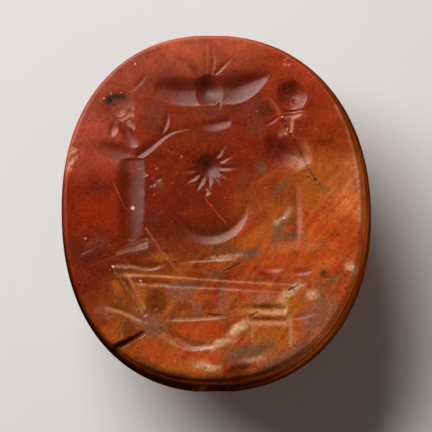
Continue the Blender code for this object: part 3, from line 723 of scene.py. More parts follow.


# Soft-edged patches, by mineral, some of them painted shade and some painted highlight on cut walls: (x, y,
# half length, half width, degrees)
PATCHES = {
    # rust_and_painted_shade: partly the stone's own rust-red, partly painted shade on cut walls that face
    # away from the light (the wings' and the arm's upper walls, the leg's left wall, the disc, the wall under
    # the right arm)
    "rust_and_painted_shade": [
        (-2.3, 7.55, 1.15, 0.3, 0), (1.9, 7.65, 1.1, 0.3, 12), (-0.65, 7.45, 0.5, 0.4, 30),
        (4.5, 7.3, 0.7, 0.4, 0), (3.7, 3.5, 0.75, 0.6, -20), (-5.7, 3.8, 1.1, 0.28, -8),
        (-0.5, -0.75, 1.5, 0.25, 0), (-5.0, -2.85, 0.8, 0.3, 5), (-1.35, 8.5, 0.6, 0.2, -45),
        (-4.1, 3.5, 1.3, 0.25, 38), (-5.35, 0.4, 2.3, 0.28, 90), (-3.5, 5.0, 0.5, 0.6, 0),
        (3.1, -4.0, 0.6, 0.25, -20), (6.6, 3.8, 0.4, 0.3, 0),
    ],
    "mauve": [
        (2.6, 5.9, 1.0, 0.5, 10), (2.6, 4.8, 0.5, 0.6, 0), (-0.1, 5.7, 0.8, 0.4, 0),
        (-3.4, 5.6, 0.45, 1.0, -15), (1.0, -2.7, 1.1, 0.2, 5), (-5.8, 3.3, 0.9, 0.3, -25),
        (1.9, 1.7, 0.6, 0.25, 40), (-2.9, -2.3, 0.9, 0.4, 15), (-6.9, -2.2, 0.7, 0.4, 20),
    ],
    "lilac_and_painted_sheen": [
        # lilac_and_painted_sheen: lilac-grey clouds of the stone, and a painted sheen on the lit lower wall
        # of the foot's groove at (-4.3, -2.2)
        (-3.8, -6.75, 1.1, 0.5, -8), (-4.3, -2.2, 0.65, 0.28, 15), (-1.8, -4.95, 0.85, 0.6, 0),
        (6.3, -6.4, 1.3, 0.8, 40), (4.6, -8.9, 1.7, 0.5, 25), (-6.3, -6.15, 0.5, 0.28, -40),
        (0.6, -5.6, 0.3, 0.9, 0), (-3.45, -7.45, 0.5, 0.2, 10), (2.9, -5.4, 0.7, 0.35, 0),
        (-0.9, -6.1, 0.3, 0.45, 20),
    ],
    "grey": [
        (2.9, 2.3, 0.34, 0.3, 0), (4.1, 1.2, 0.6, 0.16, 48), (3.9, -1.35, 0.9, 0.38, 80),
        (4.6, -1.7, 0.7, 0.3, 15), (6.72, 1.0, 0.28, 0.2, 0), (2.35, -2.75, 0.6, 0.35, 15),
        (2.0, -8.6, 1.2, 0.42, 10), (3.4, -8.1, 0.3, 0.36, 10), (1.05, -9.2, 0.45, 0.2, 20),
        (7.1, -4.35, 0.3, 0.22, 15), (4.4, -0.95, 0.34, 0.2, 20), (6.4, -5.0, 0.22, 0.7, 10),
        (0.3, -3.95, 0.42, 0.25, 0), (-3.1, 1.5, 0.12, 0.2, 30), (-3.3, -7.2, 0.6, 0.25, 0),
        (8.35, 1.3, 0.14, 0.4, 0),
    ],
    "ochre": [
        (2.5, -1.8, 1.0, 0.5, 25), (5.9, 0.3, 0.6, 0.5, 45), (-4.25, -5.2, 0.5, 0.7, 15),
        (-5.75, -4.7, 0.34, 0.4, 40), (-3.6, -3.92, 1.3, 0.2, -3), (-3.0, -2.9, 0.8, 0.26, 0),
        (-1.85, -9.4, 1.05, 0.36, 5), (3.2, -7.6, 0.95, 0.5, 0), (4.2, -8.1, 0.32, 0.45, 0),
        (3.5, -6.2, 1.2, 0.3, 0), (5.1, -5.75, 0.7, 0.42, 10), (3.6, -0.2, 0.3, 0.6, 20),
        (-1.9, -4.2, 0.9, 0.18, -4),
    ],
    "orange": [
        (-0.2, -5.2, 0.6, 0.2, 0), (-0.8, -7.3, 1.5, 0.5, 0), (-3.2, -8.6, 0.9, 0.5, -25),
        (0.15, -9.0, 0.3, 0.24, 0), (1.7, -6.6, 0.6, 0.25, 35), (5.0, -7.0, 0.3, 0.36, 30),
        (7.7, -5.2, 0.24, 0.7, -25), (6.7, -2.8, 1.4, 0.33, 12), (3.75, 5.9, 0.6, 0.12, -50),
        (0.2, -3.5, 0.5, 0.16, 10), (4.0, -3.1, 1.2, 0.25, 0), (7.9, -1.4, 0.4, 1.0, -15),
        (2.3, -4.75, 0.9, 0.2, -4),
    ],
    # rose_and_painted_highlight: rosy streaks of the stone, and painted highlight where cut walls catch the
    # light, as in the left head's hollow at (-5.3, 5.72)
    "rose_and_painted_highlight": [
        (5.65, 3.25, 0.6, 0.22, 115), (5.1, 2.5, 0.5, 0.28, 65), (4.65, 4.9, 0.14, 0.5, 3),
        (4.8, 5.45, 0.5, 0.2, 5), (4.2, 4.45, 0.35, 0.2, 60), (5.15, -0.9, 1.0, 0.2, 90),
        (4.8, -2.4, 1.5, 0.22, 3), (-5.3, 5.72, 0.6, 0.4, -35), (-8.4, 3.2, 0.25, 0.9, -5),
        (4.62, -7.4, 0.12, 0.7, 0), (-1.8, -8.0, 0.9, 0.16, -15), (3.2, -5.45, 0.5, 0.2, 0),
        (6.2, -7.6, 0.5, 0.3, 45),
    ],
    "cream": [
        (4.6, -5.1, 0.85, 0.24, 40), (5.95, -5.2, 0.36, 0.24, 10), (8.25, -3.65, 0.36, 0.24, -35),
        (1.6, -7.15, 0.75, 0.28, 35), (0.5, -8.05, 0.8, 0.22, 18), (-0.3, -9.4, 0.55, 0.2, -12),
        (0.6, -3.0, 0.7, 0.1, 5), (4.2, -0.62, 0.4, 0.1, 40), (2.35, -9.05, 0.6, 0.12, 20),
    ],
    "straw_and_painted_highlight": [
        # straw_and_painted_highlight: the first two strips lie on the lit lower walls of the boat's two
        # grooves, as painted highlight; the others are straw-coloured stone
        (3.1, -6.25, 1.3, 0.18, -1), (3.2, -6.86, 1.2, 0.16, -1), (4.3, -6.0, 0.25, 0.55, 0),
        (-4.9, -3.95, 0.3, 0.1, 0),
    ],
    "mustard_and_painted_shade": [
        # mustard_and_painted_shade: the two thin strips at y -6.55 and -5.9 lie on the shaded upper walls of
        # the boat's grooves, as painted shade; the others are mustard-coloured stone
        (-3.3, -5.5, 0.62, 0.78, 10), (2.9, -6.55, 1.0, 0.1, 0), (-5.0, -7.1, 0.4, 0.6, 0),
        (2.8, -5.9, 1.0, 0.1, 0), (-4.82, -4.95, 1.4, 0.14, -59),
    ],
    "brick": [
        (-1.65, -5.85, 0.45, 0.28, 5), (-0.15, -5.75, 0.42, 0.3, 5), (-2.1, -2.25, 0.8, 0.24, 0),
        (-0.1, -4.98, 0.5, 0.2, 0), (-6.3, -4.9, 0.4, 0.4, 40),
    ],
    "plum": [
        (3.1, 5.9, 0.5, 0.4, 0), (-6.6, 1.3, 0.9, 0.4, 10), (-7.0, -2.6, 0.6, 0.3, 20),
    ],
    "maroon": [
        (1.6, -9.5, 0.8, 0.27, 16), (-3.2, -5.9, 0.2, 0.14, 0), (-3.45, -5.4, 0.14, 0.12, 0),
        (6.55, -4.1, 0.2, 0.16, 0),
    ],
}
# Each mineral: (colour, how much it covers, how soft its edge is)
MINERALS = {
    # the rust colour is partly painted shade on cut walls turned from the light
    "rust_and_painted_shade": (paint(112, 28, 3), 0.72, 0.2), "mauve": (paint(122, 58, 38), 0.6, 0.25),
    # the lilac colour is partly a painted sheen
    "lilac_and_painted_sheen": (paint(142, 90, 66), 0.66, 0.2), "grey": (paint(112, 80, 54), 0.82, 0.2),
    "ochre": (paint(178, 92, 26), 0.68, 0.16), "orange": (paint(186, 68, 20), 0.7, 0.12),
    # the rose colour is partly painted highlight in the cuts
    "rose_and_painted_highlight": (paint(206, 118, 76), 0.48, 0.14), "cream": (paint(222, 170, 132), 0.85, 0.17),
    # the mustard colour is partly painted shade
    "mustard_and_painted_shade": (paint(112, 50, 6), 0.8, 0.12), "brick": (paint(132, 46, 12), 0.75, 0.1),
    # the straw colour is partly painted highlight
    "plum": (paint(92, 30, 14), 0.75, 0.2), "straw_and_painted_highlight": (paint(208, 138, 74), 0.75, 0.12),
    "maroon": (paint(66, 16, 2), 0.85, 0.16),
}
FAR_OUTSIDE = -1.0
BLOCKY = 2.6               # 2 would make the patches plain ovals


def patch_field(points, patches):
    """How far inside the nearest patch each point lies, in millimetres; negative outside."""
    warped = points + 0.14 * np.stack([cloud(points, 0.55, 61), cloud(points, 0.55, 67)], axis=1)
    field = np.full(len(points), FAR_OUTSIDE)
    for x, y, half_length, half_width, degrees in patches:
        turn = math.radians(degrees)
        dx, dy = warped[:, 0] - x, warped[:, 1] - y
        u = (dx * math.cos(turn) + dy * math.sin(turn)) / half_length
        v = (-dx * math.sin(turn) + dy * math.cos(turn)) / half_width
        squarish = (np.abs(u) ** BLOCKY + np.abs(v) ** BLOCKY) ** (1 / BLOCKY)
        field = np.maximum(field, (1 - squarish) * min(half_length, half_width))
    return field


# Lines in the stone, and the cream lines of painted highlight in grooves and along the right edge: (points,
# width)
VEINS = {
    "pale_vein": [
        ((-3.9, -1.2), (-2.85, -2.75), (-1.75, -4.1), 0.14),
        ((-0.35, 0.5), (0.35, -0.4), (0.95, -1.1), 0.08), ((-5.85, 1.6), (-5.5, 0.8), (-5.15, 0.0), 0.08),
        ((2.2, 1.4), (3.0, 1.7), (3.9, 2.3), 0.06), ((3.5, 6.4), (3.8, 6.0), (4.0, 5.6), 0.1),
        ((6.2, -4.6), (6.9, -5.9), (6.4, -7.4), 0.08), ((-5.1, -6.4), (-5.4, -7.2), (-5.1, -8.0), 0.1),
        ((-6.3, -6.0), (-5.2, -6.3), (-4.2, -6.9), 0.14), ((-1.9, -4.9), (-1.7, -5.3), (-1.8, -5.7), 0.1),
        ((1.4, -4.9), (1.5, -5.6), (1.3, -6.3), 0.08),
    ],
    "straw_vein": [
        ((-5.75, -3.75), (-5.2, -4.5), (-4.6, -5.35), (-4.1, -6.2), 0.16),
        ((-5.05, -3.9), (-4.5, -4.9), (-4.0, -6.0), 0.2),
        ((-5.2, -3.93), (-3.9, -3.98), (-2.4, -4.1), 0.16),
        ((-4.5, -4.48), (-3.6, -4.52), (-2.6, -4.6), 0.14), ((2.4, -6.95), (2.36, -7.5), (2.4, -8.1), 0.16),
        ((4.5, -6.4), (4.52, -7.2), (4.56, -8.0), 0.2),
    ],
    # cream_vein_and_painted_highlight: pale lines laid along grooves where their walls catch the light, and
    # the last one along the face's right edge, as painted highlight
    "cream_vein_and_painted_highlight": [
        ((-6.3, -5.85), (-5.15, -6.25), (-4.2, -6.7), 0.16),
        ((-2.9, -7.5), (-2.3, -8.05), (-1.4, -8.36), (-0.3, -8.2), 0.22),
        ((-5.6, -3.42), (-4.8, -3.46), (-3.7, -3.6), (-2.9, -3.42), 0.16),
        ((-5.6, -2.62), (-4.7, -2.35), (-3.8, -2.05), 0.1),
        ((-2.6, -6.62), (-1.0, -6.56), (0.7, -6.5), 0.14),
        ((7.3, 6.04), (7.98, 4.44), (8.4, 2.8), (8.66, 1.0), (8.68, -0.9), 0.14),
    ],
    "dark_vein": [
        ((0.67, -3.76), (1.15, -3.56), (1.66, -3.3), 0.1), ((2.15, -6.5), (2.35, -6.4), (2.7, -6.2), 0.1),
        ((-0.2, -6.3), (0.1, -6.36), (0.5, -6.36), 0.1), ((4.5, -4.95), (4.8, -4.8), (5.1, -4.62), 0.1),
    ],
}
# Round specks and flecks: (x, y, radius)
WHITE_SPECKS = [
    (-4.72, 0.05, 0.11), (-5.85, -3.44, 0.08), (-4.22, -4.3, 0.06), (-4.16, -4.5, 0.05),
    (4.25, -0.68, 0.08), (-4.55, 8.65, 0.05), (-6.4, 6.6, 0.05), (4.14, 5.34, 0.06), (-7.5, -1.75, 0.06),
    (-6.0, 6.9, 0.03), (-5.4, 6.92, 0.04),
]
FLECKS = [
    (-0.2, 0.84, 0.12), (-0.28, 1.05, 0.09), (-4.0, 2.12, 0.07), (-3.62, 1.3, 0.07), (-3.4, 2.52, 0.05),
    (-3.2, 1.62, 0.06), (-1.85, 3.1, 0.06), (-2.6, 3.42, 0.05), (-8.3, 3.6, 0.16), (-8.45, 2.4, 0.15),
    (-8.25, 2.95, 0.12), (4.3, 8.5, 0.1), (4.45, 8.9, 0.09), (-4.1, 9.1, 0.05), (-3.5, 8.9, 0.05),
    (4.42, 4.62, 0.08), (5.62, 2.85, 0.07), (5.74, 2.36, 0.07), (5.7, 1.9, 0.05), (6.14, 1.74, 0.05),
    (4.5, 4.95, 0.05), (3.35, 7.8, 0.05), (2.75, -7.7, 0.06), (-2.9, -6.15, 0.05), (4.45, -0.5, 0.1),
    (6.35, 4.9, 0.04), (-2.3, 1.5, 0.05), (0.75, 0.6, 0.05),
]
CRUST = [(-6.1, 6.52, 0.34, 0.3, 45), (-5.6, 6.72, 0.6, 0.22, 4)]    # as the patches above


def vein_lines():
    """The veins stand a hair below the polish."""
    return [groove(*path, width=width + 0.08, depth=0.008)
            for veins in VEINS.values() for *path, width in veins]


def speck_field(points, specks):
    """How far inside the nearest round speck each point lies."""
    field = np.full(len(points), FAR_OUTSIDE)
    warped = points + 0.03 * np.stack([cloud(points, 0.12, 71, 2), cloud(points, 0.12, 73, 2)], axis=1)
    for x, y, radius in specks:
        field = np.maximum(field, radius - np.hypot(warped[:, 0] - x, warped[:, 1] - y))
    return field


def vein_field(points, veins):
    """How far inside the nearest vein each point lies."""
    field = np.full(len(points), FAR_OUTSIDE)
    for *path, width in veins:
        curve = smooth_path(path)
        distance = np.min([np.hypot(*(points - spot).T) for spot in resampled(curve, width / 2)], axis=0)
        field = np.maximum(field, width / 2 - distance)
    return field


def resampled(curve, spacing):
    """Points at even steps along a curve."""
    step = np.hypot(*np.diff(curve, axis=0).T)
    travelled = np.concatenate([[0], np.cumsum(step)])
    at = np.arange(0, travelled[-1], spacing)
    return np.stack([np.interp(at, travelled, curve[:, axis]) for axis in (0, 1)], axis=1)


def store(mesh, name, values):
    """A number, or a colour, at every vertex, for the material to read."""
    if values.ndim == 1:
        mesh.attributes.new(name, "FLOAT", "POINT").data.foreach_set("value", values)
    else:
        rgba = np.column_stack([values, np.ones(len(values))])
        mesh.attributes.new(name, "FLOAT_COLOR", "POINT").data.foreach_set("color", rgba.ravel())


DIP = (0.35, -0.22)        # how far the patches shift, down through the stone, per mm of depth
MARKS_REACH = 0.6          # the veins, specks and crack show to this depth below the face
CUTS_REACH = 0.9           # and what lies in the cuts, to this one
CRACK_WIDTH = 0.05
CRACK_GAP_WIDTH = 0.16
STAR_SHADE = (-0.14, 0.18)  # where the painted shade lies in the star and in the disc, from their centres: towards the upper left, away from the light
DISC_SHADE = (-0.25, 0.5)


def lay_minerals(mesh, plan):
    """The washes, the mineral patches with the painted shade and highlight among them, and how broken up the
    colour is towards the lower right.
    """
    store(mesh, "wash", wash_colour(plan))
    for name, patches in PATCHES.items():
        store(mesh, name, patch_field(plan, patches))
    across_band = plan[:, 0] * 0.55 - plan[:, 1] - 1.2 + 0.8 * cloud(plan, 2.0, 83, 2)
    store(mesh, "broken", np.clip(across_band / 3.0 + 0.25, 0, 1))


def lay_marks(mesh, flat, depth):
    """The veins, specks, flecks and the crack of the face, the cream lines of painted highlight, and the
    crust in the left head.
    """
    gaps = [(*gap, CRACK_GAP_WIDTH) for gap in CRACK_GAPS]
    marks = {name: vein_field(flat, veins) for name, veins in VEINS.items()}
    marks["white_speck"] = speck_field(flat, WHITE_SPECKS)
    marks["fleck"] = speck_field(flat, FLECKS)
    marks["crack"] = np.maximum(vein_field(flat, [(*CRACK, CRACK_WIDTH)]), vein_field(flat, gaps))
    for name, field in marks.items():
        store(mesh, name, np.where(depth < MARKS_REACH, field, FAR_OUTSIDE))
    store(mesh, "residue", np.where(depth < CUTS_REACH, patch_field(flat, CRUST), FAR_OUTSIDE))


def shade_in_hollow(flat, centre, offset, reach, strength):
    """Painted shade in a hollow, round a spot set off from its centre, thinning out over its reach."""
    away = np.hypot(*(flat - centre - offset).T)
    return strength * np.exp(-(away / reach) ** 2)


def lay_cut_and_shade(mesh, flat, depth, cuts):
    """How deep each place is cut, and the painted shade in the slot, darker as the slot deepens, and at the
    upper left of the star and the disc.
    """
    store(mesh, "cut", np.clip(carved_depth(flat, cuts) / 0.12, 0, 1) * (depth < CUTS_REACH))
    # painted shade: the slot darkens as it deepens, and the star's and disc's hollows at their upper left
    slot_depth = carved_depth(flat, edge_slot()) * (depth < 1.2)
    shade_in_star = shade_in_hollow(flat, STAR_CENTRE, STAR_SHADE, 0.36, 0.8) * (depth < CUTS_REACH)
    shade_in_disc = shade_in_hollow(flat, DISC_CENTRE, DISC_SHADE, 0.45, 0.5) * (depth < CUTS_REACH)
    store(mesh, "painted_shade", np.clip(np.maximum(slot_depth / 0.28, np.maximum(shade_in_star, shade_in_disc)), 0, 1))


def lay_wear(mesh, flat, depth, beyond, side):
    """The painted shade of the side, darker down it and towards the lower left, and of the lower edge of the
    face;
    the worn edge with its painted highlight; the haze at the top left; and how far the side is ground and
    shows its layers."""
    # painted shade: darker towards the lower left, away from the light, and further down the side, with a
    # dark band along the lower edge of the face
    towards_shade = -flat[:, 0] * 0.06 - flat[:, 1] * 0.1
    above_girth = np.clip(1 - (depth - GIRTH_DEPTH) / 2.6, 0, 1)
    side_shade = np.clip(np.maximum((depth - 0.5) / 2.0, towards_shade), 0, 1) * side
    side_shade *= 0.2 + 0.8 * above_girth
    rim_shade = np.clip(1 + beyond / 0.5, 0, 1) * np.clip(-flat[:, 1] / 2.0 - 3.9, 0, 1) * (1 - side)
    store(mesh, "painted_side_shade", np.maximum(side_shade, 0.9 * rim_shade))
    unshaded = np.clip(1 - towards_shade, 0, 1)
    # the pale worn edge, with painted highlight on the rounded arris, fading towards the lower left and
    # bottom where the shade is painted
    store(mesh, "worn_edge_and_highlight", np.clip(1 - np.abs(beyond) / 0.09, 0, 1) * (depth < 1) * unshaded)
    haze = np.clip((flat[:, 1] - flat[:, 0] * 0.45 - 6.6) / 3.5, 0, 1)
    store(mesh, "haze", np.where(depth < 1.5, haze, 0.4))
    store(mesh, "side", side * (0.25 + 0.75 * above_girth))
    store(mesh, "layered", np.clip(0.35 + 0.08 * flat[:, 0] - 0.05 * flat[:, 1], 0.1, 1))


def lay_colours(mesh, co, cuts):
    """Stores the stone's colours and wear. The patches dip as they go down through the stone."""
    depth = THICKNESS - co[:, 2]
    flat = co[:, :2]
    beyond = np.hypot(*flat.T) - oval_radius(np.arctan2(flat[:, 1], flat[:, 0]))
    side = np.clip(np.maximum((beyond - 0.04) / 0.2, (depth - 1.0) / 0.5), 0, 1)
    dipped = flat + depth[:, None] * np.array(DIP)
    lay_minerals(mesh, np.where((side < 0.8)[:, None], flat, dipped))
    lay_marks(mesh, flat, depth)
    lay_cut_and_shade(mesh, flat, depth, cuts)
    lay_wear(mesh, flat, depth, beyond, side)


# ---------------------------------------------------------------- material

PER_MM = 1000.0            # the scale of a texture with one feature to the millimetre
STREAK_TURN = 52           # degrees from +X, the way the orange streaks run
SCRATCH_TURNS = (38, 112)  # and the two ways the scratches run


class Nodes:
    """Short ways to add the nodes of a material."""

    def __init__(self, name):
        self.material = bpy.data.materials.new(name)
        self.material.use_nodes = True
        self.tree = self.material.node_tree
        self.shader = self.tree.nodes["Principled BSDF"]
        self.place = self.add("TexCoord").outputs["Object"]

    def add(self, kind, inputs=None, **settings):
        """A new node with these settings, and these inputs by name."""
        node = self.tree.nodes.new("ShaderNode" + kind)
        for key, value in settings.items():
            setattr(node, key, value)
        for key, value in (inputs or {}).items():
            self.put(node.inputs[key], value)
        return node

    def put(self, socket, value):
        """Feeds an input from another node, or gives it a colour or a plain value."""
        if isinstance(value, bpy.types.NodeSocket):
            self.tree.links.new(value, socket)
        elif socket.type == "RGBA":
            socket.default_value = (*value, 1.0)
        else:
            socket.default_value = value

    def attribute(self, name, output="Fac"):
        return self.add("Attribute", attribute_name=name).outputs[output]

    def math(self, operation, *values):
        node = self.add("Math", operation=operation)
        for socket, value in zip(node.inputs, values):
            self.put(socket, value)
        return node.outputs[0]

    def times(self, a, b):
        return self.math("MULTIPLY", a, b)

    def minus(self, a, b):
        return self.math("SUBTRACT", a, b)

    def add_share(self, total, value, share):
        """The total with a share of a value added."""
        return self.math("MULTIPLY_ADD", value, share, total)

    def noise(self, scale, detail=4.0, roughness=0.6, distortion=0.0):
        """Noise from 0 to 1. The scale is in features to the millimetre."""
        node = self.add("TexNoise", {"Vector": self.place, "Scale": scale * PER_MM, "Detail": detail,
                                     "Roughness": roughness, "Distortion": distortion})
        return node.outputs["Fac"]

    def spread(self, value, low, high, new_low=0.0, new_high=1.0, smooth=False):
        """Moves a value's range from low and high to new_low and new_high, and clamps it."""
        node = self.add("MapRange")
        if smooth:
            node.interpolation_type = "SMOOTHSTEP"
        for socket, entry in zip(node.inputs, (value, low, high, new_low, new_high)):
            self.put(socket, entry)
        return node.outputs["Result"]

    def mix(self, factor, a, b, blend="MIX"):
        node = self.add("Mix", data_type="RGBA", blend_type=blend)
        self.put(node.inputs["Factor"], factor)
        self.put(node.inputs[6], a)
        self.put(node.inputs[7], b)
        return node.outputs[2]


def cells(n, scale):
    """Scattered cells: (a random value for each cell, the distance from its centre)."""
    voronoi = n.add("TexVoronoi", {"Vector": n.place, "Scale": scale * PER_MM})
    parts = n.add("SeparateColor", {"Color": voronoi.outputs["Color"]})
    return parts.outputs[0], voronoi.outputs["Distance"]


def drawn_out(n, turn, size, detail=4.0):
    """Noise drawn out in a direction. The size of its features is in millimetres along, across and down."""
    turned = n.add("Mapping", {"Vector": n.place, "Rotation": (0, 0, math.radians(turn)),
                               "Scale": [length * MM for length in size]}, vector_type="TEXTURE")
    settings = {"Vector": turned.outputs[0], "Scale": 1.0, "Detail": detail, "Roughness": 0.6}
    return n.add("TexNoise", settings).outputs["Fac"]


def scratches(n, turn, length, gap):
    """Fine straight scratches one way across the face: 1 in a scratch and 0 between."""
    waves = drawn_out(n, turn, (length, gap, gap), 0.0)
    off_line = n.math("ABSOLUTE", n.minus(waves, 0.5))
    here = n.spread(n.noise(0.5, 2.0), 0.5, 0.58)
    return n.times(n.spread(off_line, 0.0, 0.016, 1.0, 0.0), here)


def ramp(n, value, stops):
    """A colour that changes smoothly with a value."""
    node = n.add("ValToRGB", {"Fac": value})
    elements = node.color_ramp.elements
    while len(elements) < len(stops):
        elements.new(0.5)
    for element, (position, tint) in zip(elements, stops):
        element.position = position
        element.color = (*tint, 1)
    return node.outputs[0]


def shaded(n, colour, value, low, high, dark, light):
    """The colour made darker or lighter as the value goes from low to high."""
    return n.mix(1.0, colour, n.mix(n.spread(value, low, high, smooth=True), dark, light), "MULTIPLY")


BROKEN_COLOURS = [(0.3, paint(116, 34, 6)), (0.42, paint(190, 62, 12)), (0.5, paint(186, 98, 24)),
                  (0.57, paint(140, 84, 44)), (0.66, paint(200, 88, 30)), (0.76, paint(206, 140, 92))]


def ground_mass(n):
    """The washes, broken up towards the lower right into blotches and streaks."""
    broken = n.attribute("broken")
    colour = shaded(n, n.attribute("wash", "Color"), n.noise(0.9, 8.0, 0.62, 0.4),
                    0.32, 0.68, (0.8, 0.76, 0.72), (1.2, 1.2, 1.2))
    for scale, share in ((0.55, 0.42), (1.7, 0.3)):
        blotch = n.noise(scale, 3.0, 0.55, 0.9)
        colour = n.mix(n.times(broken, share), colour, ramp(n, blotch, BROKEN_COLOURS))
    streak = drawn_out(n, STREAK_TURN, (3.2, 0.45, 0.8))
    streaked = shaded(n, colour, streak, 0.35, 0.65, (0.76, 0.7, 0.7), (1.2, 1.26, 1.3))
    return n.mix(broken, colour, streaked)


def ragged_cover(n, name, ragged, raggedness, soft, strength):
    """How much a named field covers, inside its ragged soft edge."""
    inside = n.add_share(n.attribute(name), ragged, raggedness)
    return n.spread(inside, -soft, soft * 1.2, 0.0, strength, smooth=True)


def with_minerals(n, colour):
    """Patches of each mineral, some of them painted shade and highlight, with ragged soft edges."""
    ragged = n.minus(n.noise(2.4, 6.0, 0.68), 0.5)
    grain = n.noise(6.5, 4.0, 0.7)
    for name, (tint, strength, soft) in MINERALS.items():
        cover = ragged_cover(n, name, ragged, 0.6, soft, strength)
        shade = n.mix(n.spread(grain, 0.3, 0.7), tint * 0.72, np.minimum(tint * 1.28, 1))
        colour = n.mix(cover, colour, shade)
    return colour


# Each mark: (name, colour, how much it covers, how soft its edge is)
MARKS = (("pale_vein", paint(184, 92, 50), 0.6, 0.03), ("straw_vein", paint(212, 146, 84), 0.6, 0.08),
         # the cream lines are painted highlight in grooves and along the right edge
         ("cream_vein_and_painted_highlight", paint(214, 156, 118), 0.62, 0.11), ("dark_vein", paint(52, 18, 6), 0.85, 0.03),
         ("crack", paint(84, 32, 8), 0.7, 0.03), ("fleck", paint(180, 136, 100), 0.75, 0.03),
         ("white_speck", paint(244, 218, 196), 0.95, 0.03))
SOFT_VEIN = 0.05           # edges softer than this belong to veins that come and go


def with_marks(n, colour):
    """Veins, flecks, white specks and the crack, and the cream lines of painted highlight. The soft veins and
    lines come and go along their length.
    """
    fine = n.minus(n.noise(11.0, 3.0), 0.5)
    patchy = n.spread(n.noise(1.0), 0.38, 0.6, 0.25, 1.0)
    for name, tint, strength, soft in MARKS:
        cover = ragged_cover(n, name, fine, 0.12, soft, strength)
        if soft > SOFT_VEIN:
            cover = n.times(cover, patchy)
        colour = n.mix(cover, colour, tint)
    return colour


def dots(n, distance, radius):
    """1 inside a dot of this radius and 0 outside."""
    return n.spread(n.minus(distance, radius), 0.0, 0.05, 1.0, 0.0)


def with_grain(n, colour):
    """The fine grain of the stone, with dark and pale dots. Gives (colour, where the dark dots are)."""
    colour = shaded(n, colour, n.noise(5.0, 4.0, 0.65), 0.34, 0.66, (0.86, 0.83, 0.8), (1.14, 1.14, 1.14))
    speckle = n.noise(9.0, 2.0, 0.5)
    red = n.spread(n.attribute("cream"), -0.05, 0.1, 1.0, 0.2)
    pale_grain = n.times(n.spread(speckle, 0.58, 0.72, 0.0, 0.22), red)
    dark_grain = n.times(n.spread(speckle, 0.42, 0.3, 0.0, 0.28), red)
    colour = n.mix(pale_grain, colour, paint(200, 84, 30))
    colour = n.mix(dark_grain, colour, paint(60, 16, 4))
    chance, distance = cells(n, 2.3)
    dark_dots = dots(n, distance, n.spread(chance, 0.5, 1.0, -0.1, 0.17))
    pale_dots = dots(n, distance, n.spread(chance, 0.2, 0.0, -0.1, 0.14))
    colour = n.mix(n.times(dark_dots, 0.55), colour, paint(56, 16, 4))
    return n.mix(n.times(pale_dots, 0.4), colour, paint(216, 128, 92)), dark_dots


def with_crust_and_shade(n, colour):
    """The black-green crust left in the left head, the painted shade of the slot, the star and the disc, and
    the painted shade that darkens the cuts. Gives (colour, where the crust is)."""
    lumps = n.noise(7.0, 4.0, 0.7)
    inside = n.add_share(n.attribute("residue"), n.minus(lumps, 0.5), 0.7)
    crust = n.spread(inside, -0.06, 0.12, 0.0, 0.92, smooth=True)
    tint = n.mix(n.spread(lumps, 0.46, 0.66), paint(20, 12, 6), paint(84, 74, 44))
    colour = n.mix(crust, colour, tint)
    # painted shade: darkens the slot, and the upper left of the star's and the disc's hollows
    colour = n.mix(n.spread(n.attribute("painted_shade"), 0.0, 1.0, 0.0, 0.94), colour, paint(26, 7, 3))
    # painted shade: every cut is darkened towards black with its depth
    return n.mix(n.times(n.attribute("cut"), 0.22), colour, (0, 0, 0)), crust


def with_side(n, colour):
    """The ground side, with fine layers that run level round it, the painted shade that darkens it downwards
    and towards the lower left and the string hole, and along the lower edge of the face, and the pale worn
    edge of the face with its painted highlight."""
    layers = drawn_out(n, 0, (6.0, 6.0, 0.14), 2.0)
    tint = n.mix(n.spread(layers, 0.47, 0.62, smooth=True), paint(120, 40, 4), paint(255, 122, 32))
    layered = n.times(n.attribute("side"), n.attribute("layered"))
    colour = n.mix(n.times(layered, 0.85), colour, tint)
    # painted shade on the side and along the lower edge of the face
    colour = n.mix(n.times(n.attribute("painted_side_shade"), 0.95), colour, paint(24, 6, 1))
    # pale worn edge, partly painted highlight of the rounded arris
    return n.mix(n.times(n.attribute("worn_edge_and_highlight"), 0.35), colour, paint(216, 122, 78))


def roughness(n, ragged, crust):
    """The polish: hazy at the top left, duller in the cuts and the crust, and gone on the ground side."""
    rough = n.spread(ragged, 0.3, 0.7, 0.18, 0.26)
    for where, share in ((n.attribute("haze"), 0.2), (n.attribute("cut"), 0.15), (crust, 0.3),
                         (n.attribute("side"), 0.5)):
        rough = n.add_share(rough, where, share)
    return rough


def relief(n, ragged, dark_dots, lines):
    """Unevenness too fine for the mesh: pores at the dark dots, and scratches."""
    height = n.add_share(n.times(ragged, 0.5), n.noise(12.0, 3.0), 0.16)
    height = n.add_share(height, dark_dots, -0.6)
    height = n.add_share(height, lines, -0.2)
    return n.add("Bump", {"Strength": 0.3, "Distance": 0.012 * MM, "Height": height}).outputs[0]


def jasper(name, specular):
    """Mottled red jasper, with the given strength of reflection for its polish."""
    n = Nodes(name)
    one_way, other_way = SCRATCH_TURNS
    lines = n.math("MAXIMUM", scratches(n, one_way, 9.0, 1.3), scratches(n, other_way, 7.0, 1.7))
    colour = with_marks(n, with_minerals(n, ground_mass(n)))
    colour, dark_dots = with_grain(n, colour)
    colour = n.mix(n.times(lines, 0.035), colour, paint(220, 140, 104))
    colour, crust = with_crust_and_shade(n, colour)
    ragged = n.noise(3.2, 6.0, 0.65)
    surface = {"Base Color": with_side(n, colour), "Roughness": roughness(n, ragged, crust), "IOR": 1.54,
               "Specular IOR Level": specular, "Normal": relief(n, ragged, dark_dots, lines)}
    for key, value in surface.items():
        n.put(n.shader.inputs[key], value)
    return n.material


